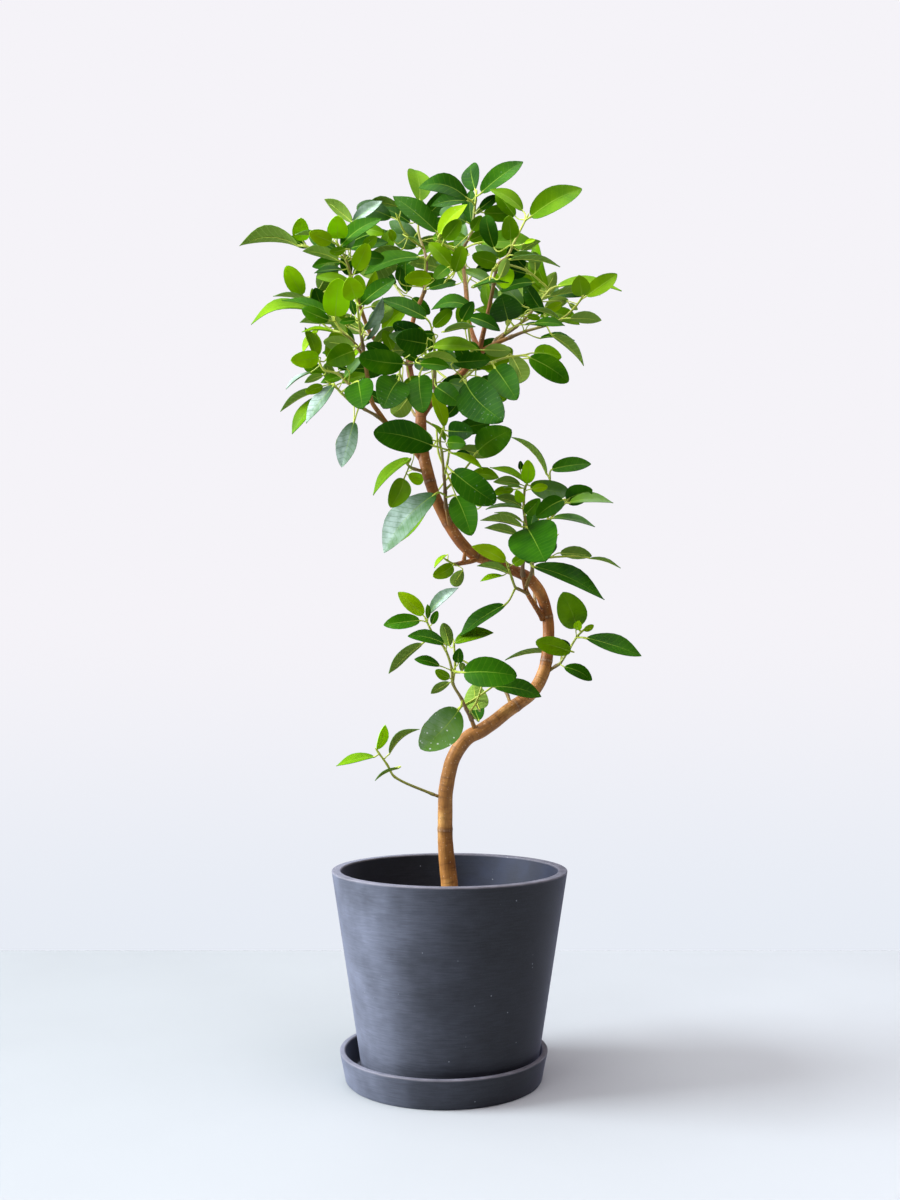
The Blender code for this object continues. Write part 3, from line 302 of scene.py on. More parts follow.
# Leafy shoots. Stems are rows of x, z, depth, radius, and the first goes on from the shoot's limb.
# A leaf is base x, base z, tip x, tip z, seen width (below zero where its underside shows), depth,
# and, where it bends more than the others do, the rise of its middle.
shoots = {
    "low_left": {
        "stems": [[(-49, 261, -12, 1.1), (-56, 272, -14, 1), (-64, 283, -16, 0.9)]],
        "tones": "MYGG",
        "leaves": [
            (-68, 279, -102, 271, 8, -18), (-65, 286, -58, 308, 9, -16), (-54, 282, -27, 304, -7, -8, 6),
            (-46, 269, -67, 258, -2, -22)]},
    "left_cluster": {
        "stems": [[(15, 322, -20, 1.5), (11, 331, -23, 1.4), (3, 345, -28, 1.3), (2, 358, -30, 1.2),
                   (-4, 376, -32, 1.1), (-15, 390, -34, 1), (-21, 402, -35, 0.9)],
                  [(3, 345, -28, 1), (5, 362, -24, 1), (4, 380, -22, 0.9)],
                  [(17, 318, -19, 1.1), (24, 328, -12, 1), (30, 345, -8, 0.9)]],
        "tones": "BVRVVDGGDMGMDDGGDG",
        "leaves": [
            (-24, 407, -47, 428, 14, -32), (-27, 402, -60, 398, 14, -38), (-18, 409, 8, 432, 10, -34),
            (-20, 404, -20, 417, 5, -44), (-16, 399, -11, 411, 7, -44), (-5, 381, -38, 388, 12, -46),
            (0, 379, -6, 400, -12, -12), (-25, 381, -55, 354, -10, -28), (-9, 361, -32, 367, 9, -40),
            (0, 350, -13, 357, 9, -48), (0, 346, -17, 336, -8, -24), (5, 382, 40, 391, 12, -24),
            (13, 355, 61, 352, 27, -52), (41, 342, 83, 333, 16, -16), (27, 318, 22, 341, -24, 22),
            (8, 321, -26, 286, 31, -44), (8, 364, 9, 377, 10, -40), (11, 356, 11, 364, -6, -36)]},
    "right_low": {
        "stems": [[(100, 363, 12, 1.2), (109, 377, 8, 1.1), (116, 388, 4, 1), (120, 392, 3, 0.9)]],
        "tones": "MBBDMDDG",
        "leaves": [
            (116, 396, 103, 428, 27, 4), (122, 393, 131, 398, 6, 2), (115, 394, 118, 402, 8, -8),
            (124, 386, 174, 370, 17, -6), (110, 374, 78, 383, 17, -14), (109, 378, 97, 384, 9, -4),
            (104, 360, 129, 348, 13, 6), (97, 373, 50, 366, -2.5, 33)]},
    "inner_green": {
        "stems": [[(60, 432, -10, 1.2), (57, 440, -12, 1.1), (53, 452, -16, 1)]],
        "tones": "DBGBM",
        "leaves": [
            (50, 416, 9, 388, 13, -24), (51, 456, 20, 470, 13, -34), (53, 446, 25, 452, -7, -24),
            (48, 443, 28, 438, 5, -26), (58, 454, 70, 463, 10, -30)]},
    "stub": {
        "stems": [[(3, 454, -19, 1), (-2, 457, -22, 0.9)]],
        "tones": "BMG",
        "leaves": [
            (-3, 462, -14, 450, 4, -26), (3, 452, -15, 442, 13, -28), (12, 448, 3, 434, -12, -8)]},
    "trunk_left": {
        "stems": [[(-36, 543, -17, 1.1), (-39, 546, -19, 0.9)]],
        "tones": "MMYB",
        "leaves": [
            (-36, 551, -70, 517, 10, -10), (-42, 532, -54, 506, 19, -30), (-38, 536, -24, 531, 12, 4),
            (-33, 556, -38, 566, 8, -26)]},
    "parallel": {
        "stems": [[(-4, 520, -25, 1.6), (-5, 535, -27, 1.4), (-7, 556, -29, 1.2), (-9, 568, -32, 1.1),
                   (-6, 579, -34, 0.9)],
                  [(-5, 535, -27, 1), (-2, 547, -32, 1), (0, 560, -36, 0.9)],
                  [(-4, 522, -25, 1.1), (8, 534, -28, 1), (20, 549, -32, 0.9)]],
        "tones": "RDDBDGDBDMVVB",
        "leaves": [
            (-13, 518, -60, 464, 27, -42), (3, 539, 42, 510, 26, -50), (6, 516, 20, 480, 25, -36),
            (2, 556, 31, 541, 6, -58), (6, 556, 19, 555, 5, -44), (10, 560, 38, 553, -12, -14),
            (-15, 563, -70, 576, 29, -52), (-5, 581, -16, 613, 12, -44), (-1, 577, 22, 576, 19, -42),
            (-4, 568, -16, 584, 5, -24), (-2, 566, 15, 565, 13, -54), (26, 558, 57, 578, 27, -40),
            (29, 507, 27, 521, 12, -30)]},
    "right_inner": {
        "stems": [[(67, 456, -10, 1.7), (69, 470, -13, 1.6), (70, 486, -16, 1.4), (68, 505, -19, 1.3),
                   (69, 523, -21, 1.1), (71, 528, -22, 0.9)]],
        "tones": "YGBMGGGBVGGGGDDD",
        "leaves": [
            (71, 528, 72, 550, 13, -24), (74, 526, 110, 520, 19, -10), (76, 523, 90, 525, 8, -36),
            (70, 529, 37, 543, 6, -30), (69, 531, 55, 539, -3, -16), (66, 524, 50, 524, -2, -28),
            (66, 507, 42, 515, -9, -4), (67, 511, 61, 522, 9, -36), (70, 500, 83, 514, 13, -42),
            (66, 505, 33, 504, 2.5, -22), (66, 493, 41, 501, -2, -34), (66, 488, 28, 494, -8, -26),
            (62, 481, 32, 487, -8, -12), (71, 487, 87, 456, 46, -52), (78, 488, 93, 490, 4, -28),
            (65, 541, 65, 549, 5, -18)]},
    "right_outer": {
        "stems": [[(76, 458, -19, 1.3), (85, 482, -24, 1.2), (92, 495, -27, 1.1), (107, 511, -30, 0.9)],
                  [(76, 458, -19, 1), (93, 460, -28, 1), (112, 461, -34, 0.9)],
                  [(88, 488, -25, 1), (93, 512, -14, 1), (92, 534, -6, 0.9)]],
        "tones": "DDGGDGGGD",
        "leaves": [
            (104, 513, 79, 497, 17, -46), (107, 513, 131, 522, 19, -24), (110, 510, 150, 510, 9, -36),
            (89, 537, 57, 571, -5, -4, 5), (94, 541, 130, 546, 14, -8), (95, 496, 133, 488, 7, -34),
            (101, 464, 130, 461, -12, -24), (128, 459, 156, 450, -2, -36), (77, 451, 141, 421, 16, -40)]},
    "left_low": {
        "stems": [[(-78, 597, -33, 1.4), (-92, 605, -38, 1.2), (-104, 617, -42, 1), (-110, 621, -44, 0.9)]],
        "tones": "RRMGMD",
        "leaves": [
            (-88, 585, -99, 543, 18, -46), (-107, 619, -132, 584, 12, -56), (-117, 609, -145, 574, 12, -38),
            (-118, 615, -156, 595, -7, -30), (-117, 619, -133, 613, 9, -50), (-84, 623, -80, 598, 26, -62)]},
    "left_mid": {
        "stems": [[(-94, 622, -28, 1.3), (-104, 631, -26, 1.1), (-116, 634, -25, 1), (-121, 643, -24, 0.9)]],
        "tones": "RMVDYB",
        "leaves": [
            (-128, 632, -151, 616, 3, -20), (-117, 629, -134, 622, -7, -14), (-95, 629, -119, 622, 9, -8),
            (-95, 635, -104, 638, 5, -38), (-121, 646, -147, 643, 16, -34), (-122, 648, -125, 670, 7, -18)]},
    "left_top": {
        "stems": [[(-82, 668, -41, 1.3), (-84, 680, -44, 1.1), (-86, 700, -48, 0.9)]],
        "tones": "BDRRVDG",
        "leaves": [
            (-87, 702, -94, 722, 19, -58), (-82, 696, -50, 720, 14, -60), (-79, 672, -62, 703, 10, -52),
            (-77, 663, -64, 690, 5, -38), (-87, 681, -102, 679, 6, -58), (-88, 686, -92, 701, 7, -34),
            (-71, 656, -50, 675, -9, -30)]},
    "yellow_left": {
        "stems": [[(-92, 664, -38, 1.2), (-99, 669, -38, 1.1), (-107, 681, -37, 0.9)],
                  [(-99, 669, -38, 0.9), (-113, 674, -30, 0.9), (-123, 684, -26, 0.9)]],
        "tones": "YMVGVGMBGVB",
        "leaves": [
            (-106, 685, -103, 721, 24, -50), (-128, 690, -184, 677, 10, -22, 9),
            (-110, 686, -156, 700, 7, -32), (-125, 697, -164, 704, -3, -12),
            (-112, 681, -137, 692, 13, -46), (-106, 678, -139, 679, -10, -24),
            (-108, 670, -137, 670, 3, -44), (-122, 672, -136, 650, 7, -12), (-88, 656, -117, 661, -14, -54),
            (-89, 652, -114, 641, 20, -46), (-80, 652, -99, 634, 9, -26)]},
    "upper_left": {
        "stems": [[(-92, 725, -16, 1.4), (-97, 740, -18, 1.2), (-104, 753, -20, 1)],
                  [(-97, 740, -18, 1), (-118, 746, -16, 1), (-134, 752, -14, 0.9)],
                  [(-100, 746, -19, 1), (-96, 760, -10, 1), (-92, 771, -6, 0.9)],
                  [(-90, 717, -15, 1), (-110, 708, -10, 1), (-129, 703, -6, 0.9)]],
        "tones": "MYGMRYBVDBGVDMYDMM",
        "leaves": [
            (-141, 752, -196, 752, -15, -12, 11), (-137, 757, -139, 779, 16, -14),
            (-112, 757, -144, 763, -4, -30), (-91, 775, -117, 797, -12, 0), (-90, 775, -63, 795, 11, -4),
            (-105, 759, -104, 781, 19, -28), (-110, 756, -131, 765, 14, -40),
            (-101, 752, -63, 778, 14, -30), (-92, 769, -68, 776, 5, -20), (-87, 729, -76, 754, 16, -32),
            (-103, 738, -137, 747, -11, -30), (-102, 736, -128, 732, 12, -2),
            (-100, 729, -126, 726, 6, -28), (-93, 716, -124, 722, 10, -14), (-137, 705, -152, 733, 18, -4),
            (-112, 712, -127, 703, 12, -2), (-80, 750, -68, 761, 10, -44), (-97, 749, -112, 746, 8, -38)]},
    "top_left": {
        "stems": [[(-22, 740, 20, 1.5), (-29, 765, 22, 1.2), (-29, 779, 22, 1)],
                  [(-24.8, 750, 20.8, 1.1), (-40, 762, 12, 1), (-48, 778, 8, 0.9)]],
        "tones": "DGVGDBVMGBD",
        "leaves": [
            (-37, 774, -66, 790, 11, 26), (-48, 790, -77, 793, -9, 10), (-28, 741, -80, 724, 15, 2),
            (-45, 748, -79, 733, -16, 14), (-47, 719, -46, 732, 10, 6), (-17, 721, -42, 720, 15, -2),
            (-12, 765, -53, 800, 20, 4), (-28, 795, -33, 825, 23, 20), (-39, 760, -27, 753, -3, -4),
            (-52, 757, -56, 768, 8, 0), (-19, 711, 6, 718, 10, 4)]},
    "top_centre": {
        "stems": [[(12, 748, 10, 1.5), (20, 763, 10, 1.3), (23, 785, 12, 1.1), (25, 801, 12, 0.9)],
                  [(12.6, 740, 9, 1.1), (2, 749, 2, 1), (-8, 755, -4, 0.9)],
                  [(12.8, 735, 8.5, 1), (5, 728, -2, 1), (-3, 719, -8, 0.9)]],
        "tones": "DDBMGDVGMMVMMV",
        "leaves": [
            (17, 797, -29, 808, 19, 6, 11), (17, 795, -18, 790, 12, 24), (-9, 763, 17, 792, 13, -14),
            (-5, 758, 10, 777, 15, -20), (-12, 757, 5, 766, -8, 8), (24, 806, 20, 830, 19, 16),
            (30, 803, 69, 833, 18, 8), (25, 783, 48, 798, -8, 22), (21, 767, 30, 781, 11, -4),
            (30, 755, 84, 750, 18, -4), (33, 750, 50, 745, 7, 14), (3, 730, -19, 755, 15, -14),
            (5, 727, 12, 752, 14, -22), (-2, 731, -14, 720, 12, -22)]},
    "top_right": {
        "stems": [[(45, 734, -26, 1.4), (54, 742, -27, 1.3), (60, 755, -26, 1.1), (72, 779, -22, 0.9)],
                  [(45, 734, -26, 1), (40, 728, -36, 1), (38, 722, -42, 0.9)],
                  [(48, 736, -26, 1), (72, 728, -22, 1), (88, 715, -18, 0.9)]],
        "tones": "MMMGGMMDBGB",
        "leaves": [
            (68, 786, 38, 806, 12, -16), (76, 780, 124, 807, 22, -24), (57, 758, 55, 781, 16, -36),
            (59, 743, 86, 736, -8, -36), (57, 739, 103, 732, -3, -44), (43, 736, 21, 743, 15, -34),
            (91, 712, 81, 758, 15, -14), (22, 712, 55, 717, 3, -50), (46, 707, 59, 721, 16, -12),
            (47, 722, 54, 740, -10, -54), (70, 754, 80, 758, 4, -34)]},
    "right_upper": {
        "stems": [[(62, 675, -2, 1.4), (75, 688, 2, 1.3), (85, 700, 4, 1.1), (92, 709, 6, 0.9)]],
        "tones": "DGMGBGDMM",
        "leaves": [
            (54, 682, 48, 706, 30, -28), (80, 697, 45, 708, -28, 18), (100, 713, 160, 709, 8, 10),
            (93, 704, 140, 705, -6, -6), (104, 697, 88, 689, 9, -12), (76, 691, 102, 683, -4, -14),
            (70, 677, 87, 675, 3, -24), (84, 684, 98, 689, 6, 18), (40, 690, 34, 720, 11, 12)]},
    "right_lower": {
        "stems": [[(70, 670.5, -20, 1.4), (92, 677, -26, 1.2), (105, 683, -28, 1.1), (116, 693, -28, 1),
                   (122, 701, -28, 0.9)]],
        "tones": "MMGVGDMG",
        "leaves": [
            (123, 705, 120, 724, 17, -34), (127, 704, 156, 725, 16, -22), (112, 683, 141, 681, -11, -40),
            (83, 678, 111, 676, 8, -42), (95, 667, 124, 638, -9, -30), (84, 664, 116, 662, 5, -16),
            (68, 685, 80, 683, 6, -38), (111, 697, 119, 691, -5, -20)]},
    "crown_front": {
        "stems": [[(26, 638, -38, 1.4), (34, 640, -52, 1.2), (40, 641, -60, 1)],
                  [(26, 638, -38, 1.1), (18, 630, -46, 1), (12, 625, -54, 0.9)],
                  [(34, 640, -52, 1.1), (54, 646, -56, 1), (68, 648, -60, 0.9)],
                  [(26, 638, -38, 1.1), (20, 655, -50, 1), (16, 690, -58, 0.9)]],
        "tones": "VGGDDDDDGD",
        "leaves": [
            (74, 646, 110, 623, 20, -68), (57, 648, 68, 623, -18, -46), (32, 649, 57, 648, -12, -74),
            (42, 636, 62, 606, 25, -72), (15, 622, 49, 586, 36, -62), (3, 637, 38, 640, 15, -84),
            (18, 684, 47, 671, 12, -66), (22, 691, -17, 691, 12, -52, 9), (-5, 670, 24, 675, -6, -72),
            (12, 682, 22, 699, 12, -84)]},
    "centre_front": {
        "stems": [[(-14, 618, -30, 1.5), (-14, 634, -38, 1.3), (-14, 652, -42, 1.1), (-14, 662, -44, 0.9)],
                  [(-14, 640, -40, 1), (-20, 647, -50, 1), (-24, 652, -58, 0.9)]],
        "tones": "MBVDDDDDM",
        "leaves": [
            (-15, 656, 27, 654, 12, -62), (-24, 646, 8, 642, -9, -68), (-27, 640, 0, 637, 11, -80),
            (-12, 618, 10, 602, 19, -48), (-28, 628, -24, 594, 24, -62), (-22, 659, -50, 664, 23, -74),
            (-22, 683, -64, 701, 14, -46), (-10, 668, -22, 669, 6, -62), (-15, 675, 2, 691, 12, -52)]},
    "front_left": {
        "stems": [[(-40, 640, -30, 1.5), (-43, 641, -48, 1.3), (-46, 642, -60, 1)]],
        "tones": "VDMM",
        "leaves": [
            (-43, 640, -84, 646, 22, -72), (-47, 632, -61, 606, 30, -86), (-36, 612, -52, 592, -18, -20),
            (-34, 652, -26, 674, 14, -66)]},
}

# Shoots that grow away from the front. Their leaves lie behind those of the shoots that they are
# named with, a little smaller, at about the depth given.
backShoots = {
    "back_fork": {
        "stems": [[(-28, 590, 40, 1.6), (-32, 592, 62, 1.4), (-38, 604, 82, 1.1), (-44, 626, 80, 0.9)],
                  [(-28, 590, 40, 1.2), (-12, 580, 56, 1), (6, 566, 66, 0.9)],
                  [(-12, 580, 56, 1), (-10, 556, 58, 1), (0, 532, 58, 0.9)]],
        "behind": ["parallel", "front_left"], "depth": 74},
    "back_centre": {
        "stems": [[(0, 624, 36, 1.6), (8, 632, 62, 1.4), (14, 640, 92, 1.1)],
                  [(0, 624, 36, 1.1), (-14, 636, 64, 1), (-22, 648, 84, 0.9)],
                  [(8, 632, 62, 1), (34, 636, 74, 1), (58, 643, 76, 0.9)]],
        "behind": ["crown_front", "centre_front"], "depth": 88},
    "back_high": {
        "stems": [[(17, 699, 36, 1.4), (16, 716, 62, 1.2), (14, 744, 82, 1)],
                  [(16, 716, 62, 1), (30, 738, 72, 0.9)]],
        "behind": ["top_centre", "top_right"], "depth": 78},
    "back_left": {
        "stems": [[(-60, 662, 36, 1.5), (-78, 668, 52, 1.3), (-96, 676, 64, 1)],
                  [(-78, 668, 52, 1), (-90, 640, 58, 1), (-88, 606, 56, 0.9)]],
        "behind": ["yellow_left", "left_low", "left_top"], "depth": 62},
    "back_top": {
        "stems": [[(-36, 694, 44, 1.3), (-52, 716, 60, 1.1), (-66, 740, 68, 1)],
                  [(-66, 740, 68, 1), (-88, 752, 66, 0.9)]],
        "behind": ["upper_left", "top_left"], "depth": 72},
    "back_right": {
        "stems": [[(44, 664, 28, 1.4), (62, 676, 48, 1.2), (84, 688, 62, 1)],
                  [(84, 688, 62, 1), (106, 690, 60, 0.9)]],
        "behind": ["right_upper", "right_lower"], "depth": 62},
    "back_mid": {
        "stems": [[(77, 430, 44, 1.4), (76, 460, 52, 1.2), (80, 492, 54, 1), (92, 511, 52, 0.9)],
                  [(76, 460, 52, 1), (96, 478, 56, 0.9)]],
        "behind": ["right_inner", "right_outer"], "depth": 58},
    "back_low": {
        "stems": [[(44, 346, 34, 1.3), (26, 358, 42, 1.1), (8, 368, 46, 0.9)],
                  [(44, 346, 34, 1), (24, 332, 42, 1), (10, 324, 44, 0.9)]],
        "behind": ["left_cluster"], "depth": 48},
}
backLeafSettings = {"scale": 0.82, "width": 18, "top": 775, "reach": 125, "step": 11}


def asSeen(x, z, depth):
    # the point that lies `depth` behind the axis plane and is seen in front at (x, z)
    eye = Vector(treeSettings["eye"])
    return eye + (Vector((x, 0, z)) - eye) * ((depth - eye.y) / -eye.y)


def drawnOut(z, depth):
    s = treeSettings
    share = clamped((z - s["crownFoot"]) / (s["crownHead"] - s["crownFoot"]))
    return s["crownDepth"] * math.tanh(depth * (1 + (s["crownSpread"] - 1) * share) / s["crownDepth"])


def stemPoints(rows):
    return [(asSeen(x, z, drawnOut(z, depth)), radius) for x, z, depth, radius in rows]


def firstStem(name, rows):
    (before, _), (end, radius) = stemPoints(limbs[name])[-2:]
    along = (end - before).normalized()
    return [(end + along * treeSettings["gap"], radius),
            (end + along * treeSettings["limbRun"], radius)] + stemPoints(rows)


leafSettings = {
    "stalkHalf": 0.8,
    "stalkRootHalf": 0.45,
    "stemEnd": 0.1,             # share of a stem's run, at each end, that bears no stalk
    "bendCost": 9.0,            # a stalk bent at a right angle counts as so much longer
    "dropCost": 0.3,
    "ratio": 0.55,              # width of a full-grown blade over its length
    "slimmest": 0.5,
    "slimRange": 0.3,
    "farSide": 16.0,            # from this depth on, foreshortened blades point backwards
    "broadest": 78.0,           # no blade is longer than this, however wide it looks
    "fold": math.radians(14),   # how far the halves of a blade rise from its midrib
    "arch": 0.07,
    "longBlade": 62.0,
    "shortBlade": 19.0,
    "bladeStart": 0.08,
    "stalkCut": 2.2,
    "clearance": 1.3,
    "stemSample": 2.5,
    "clearStep": 4.0,
    "clearTries": 13,
    "nudges": [(0, 0), (0, 4), (0, -4), (4, 0), (-4, 0), (0, 8), (0, -8), (8, 0), (-8, 0)],
}


def halfWidth(share):
    return math.sin(math.pi * share ** 0.92) ** 0.6


def stalkRoot(stems, base, axis):
    # the place on the nearest stem that a leaf's stalk comes from, favouring a gentle bend
    s = leafSettings
    best = None
    besideLimb, *others = stems
    for points in [besideLimb[1:], *others]:
        for (start, _), (end, _) in zip(points, points[1:]):
            place, share = intersect_point_line(base, start, end)
            place = start.lerp(end, clamped(share, s["stemEnd"], 1 - s["stemEnd"]))
            stalk = base - place
            bend = 1 - stalk.normalized().dot(axis) if stalk.length > 1 else 1
            cost = stalk.length + s["bendCost"] * bend + s["dropCost"] * max(place.z - base.z, 0)
            if best is None or cost < best[0]:
                best = (cost, place)
    return best[1]


class Leaf:
    # the frame of one blade, and the plain sheet that stands for it while the crown is laid out
    def __init__(self, row, stems, shift, nudge):
        s = leafSettings
        x0, z0, x1, z1, width, depth = row[:6]
        depth = drawnOut(z0, depth) + shift
        x0, x1 = x0 + nudge[0], x1 + nudge[0]
        z0, z1 = z0 + nudge[1], z1 + nudge[1]
        self.base = asSeen(x0, z0, depth)
        seen = (asSeen(x1, z1, depth) - self.base).length
        length = max(seen, min(abs(width) / s["ratio"], s["broadest"]))
        reach = math.sqrt(length ** 2 - seen ** 2)
        tip = asSeen(x1, z1, depth - (reach if depth < s["farSide"] else -reach))
        self.axis = (tip - self.base).normalized()
        self.length = (tip - self.base).length
        self.width = max(abs(width), s["slimmest"] * self.length)
        self.seenShare = seen / length
        self.slimness = clamped((s["ratio"] - abs(width) / seen) / s["slimRange"])
        self.arch = row[6] if len(row) > 6 else s["arch"] * self.length
        self.findNormal(width)
        self.side = self.normal.cross(self.axis)
        self.root = stalkRoot(stems, self.base, self.axis)

    def findNormal(self, seenWidth):
        # turns the blade until it looks as wide as it is seen, with its upper side up
        view = (Vector(treeSettings["eye"]) - self.base).normalized()
        across = view.cross((self.axis - view * self.axis.dot(view)).normalized())
        facing = (view - self.axis * view.dot(self.axis)).normalized()
        outward = Vector((self.base.x, self.base.y, 0)).normalized()
        preferred = Vector((0, 0, 1)) - outward * self.axis.z
        turn = max(-1, min(1, seenWidth / self.width))
        sign = 1 if across.dot(preferred) >= 0 else -1
        self.normal = facing * turn + across * sign * math.sqrt(1 - turn * turn)

    def stations(self):
        if self.length >= leafSettings["longBlade"]:
            return (0.2, 0.5, 0.8)
        return (0.46,) if self.length <= leafSettings["shortBlade"] else (0.27, 0.7)

    def bladePoint(self, share, column):
        half = halfWidth(share) * self.width / 2 if 0 < share < 1 else leafSettings["stalkHalf"]
        rise = 0
        if share > 0:
            rise = self.arch * 4 * share * (1 - share) + abs(column) * half * math.sin(leafSettings["fold"])
        across = column * half * math.cos(leafSettings["fold"])
        return self.base + self.axis * self.length * share + self.side * across + self.normal * rise

    def stalkRows(self, start):
        along = (self.base - self.root).normalized()
        bisector = (along + self.axis).normalized()
        middle = (self.side - bisector * self.side.dot(bisector)).normalized()
        end = (middle - along * middle.dot(along)).normalized()
        root = self.root + along * start
        return [[root + end * side * leafSettings["stalkRootHalf"] for side in (-1, -1, 1)],
                [self.base + middle * side * leafSettings["stalkHalf"] for side in (-1, -1, 1)]]

    def sheet(self):
        rows = self.stalkRows(leafSettings["stalkCut"])
        rows += [[self.bladePoint(share, column) for column in (-1, 0, 1)] for share in self.stations()]
        rows.append([self.base + self.axis * self.length] * 3)
        bm = bmesh.new()
        last = len(rows) - 1
        bmesh.ops.create_grid(bm, x_segments=2, y_segments=last, size=0.5)
        for vertex in bm.verts:
            vertex.co = rows[round((vertex.co.y + 0.5) * last)][round((vertex.co.x + 0.5) * 2)]
        bmesh.ops.remove_doubles(bm, verts=bm.verts, dist=0.01)
        bmesh.ops.triangulate(bm, faces=bm.faces)
        return bm


class Crowd:
    # what has been placed so far, so that each new leaf is kept clear of it
    def __init__(self):
        self.wood = []
        self.leaves = []

    def addStem(self, owner, points):
        for (start, r0), (end, r1) in zip(points, points[1:]):
            steps = max(2, int((end - start).length / leafSettings["stemSample"]))
            for i in range(steps + 1):
                share = i / steps
                self.wood.append((owner, start.lerp(end, share), r0 + (r1 - r0) * share))

    def corners(self, points):
        return (Vector([min(p[i] for p in points) for i in range(3)]),
                Vector([max(p[i] for p in points) for i in range(3)]))

    def treeOf(self, leaf, offset=0.0):
        bm = leaf.sheet()
        points = [v.co + leaf.normal * offset for v in bm.verts]
        tree = BVHTree.FromPolygons(points, [[v.index for v in f.verts] for f in bm.faces])
        bm.free()
        return tree, points

    def isClear(self, leaf, owner):
        room = leafSettings["clearance"]
        middle, points = self.treeOf(leaf)
        low, high = self.corners(points)
        bladeStart = leaf.length * leafSettings["bladeStart"]
        for name, place, radius in self.wood:
            reach = radius + room
            if any(place[i] < low[i] - reach or place[i] > high[i] + reach for i in range(3)):
                continue
            near = middle.find_nearest(place, reach)[0]
            if near is None:
                continue
            if name != owner or (near - leaf.base).dot(leaf.axis) > bladeStart:
                return False
        sheets = [middle] + [self.treeOf(leaf, k * room)[0] for k in (-1, 1)]
        for tree, otherLow, otherHigh in self.leaves:
            if any(otherLow[i] > high[i] + room or otherHigh[i] < low[i] - room for i in range(3)):
                continue
            if any(sheet.overlap(tree) for sheet in sheets):
                return False
        return True

    def place(self, row, owner, stems):
        # moves the leaf along the line of sight, or a little aside, until it is clear
        tries = [(nudge, attempt) for nudge in leafSettings["nudges"]
                 for attempt in range(leafSettings["clearTries"])]
        for nudge, attempt in tries:
            step = (attempt + 1) // 2 * leafSettings["clearStep"]
            leaf = Leaf(row, stems, -step if attempt % 2 else step, nudge)
            if self.isClear(leaf, owner):
                break
        else:
            leaf = Leaf(row, stems, 0, (0, 0))
        tree, points = self.treeOf(leaf)
        self.leaves.append((tree, *self.corners(points)))
        return leaf


def rowsBehind(shoot):
    # leaves on the far side, behind the broad ones of the shoots in front
    s = backLeafSettings
    sources = [row for name in shoot["behind"] for row in shoots[name]["leaves"]]
    broad = [row for row in sources if abs(row[4]) >= s["width"]
             and row[3] < s["top"] and abs(row[2]) < s["reach"]]
    rows = []
    for i, row in enumerate(broad):
        midX, midZ = (row[0] + row[2]) / 2, (row[1] + row[3]) / 2
        halfX, halfZ = (row[2] - row[0]) / 2 * s["scale"], (row[3] - row[1]) / 2 * s["scale"]
        depth = shoot["depth"] + s["step"] * ((i * 3) % 5 - 2)
        rows.append((midX - halfX, midZ - halfZ, midX + halfX, midZ + halfZ,
                     abs(row[4]) * s["scale"], depth))
    return rows


# Smaller leaves inside the crown, on the same stems, where the front view would show a gap
fillerSettings = {
    "seed": 23,
    "counts": {
        "parallel": 4, "right_inner": 3, "right_outer": 2, "left_low": 3, "left_mid": 4, "left_top": 5,
        "yellow_left": 7, "upper_left": 12, "top_left": 8, "top_centre": 13, "top_right": 10,
        "right_upper": 8, "right_lower": 6, "crown_front": 8, "centre_front": 8, "front_left": 4,
        "back_centre": 5, "back_high": 6, "back_left": 5, "back_top": 5, "back_right": 4,
    },
    "candidates": 60,
    "stalk": (4, 15),
    "length": (17, 36),
    "slim": (0.3, 0.62),        # seen width over length
    "behind": (-4, 40),
    "cell": 4.0,                # the front view is kept as cells of this size
    "closeness": 9,             # a cell is a gap if leaves lie on four sides within so many cells
    "shares": (0.08, 0.2, 0.35, 0.5, 0.65, 0.8, 0.94),     # points of a blade that mark its cells
    "columns": (-0.85, -0.4, 0, 0.4, 0.85),
    "lean": 0.4,                # how far below the level a stalk may point, in radians
    "turn": 0.5,                # how far a blade may turn from its stalk
    "underShare": 0.2,
    "tones": "MDDGM",
}


def seenCells(leaf):
    s = fillerSettings
    eye = Vector(treeSettings["eye"])
    cells = set()
    for share in s["shares"]:
        for column in s["columns"]:
            ray = leaf.bladePoint(share, column) - eye
            seen = eye + ray * (-eye.y / ray.y)
            cells.add((round(seen.x / s["cell"]), round(seen.z / s["cell"])))
    return cells


def isGap(cell, covered):
    ways = ((1, 0), (-1, 0), (0, 1), (0, -1))
    reach = range(1, fillerSettings["closeness"])
    return all(any((cell[0] + dx * k, cell[1] + dz * k) in covered for k in reach) for dx, dz in ways)


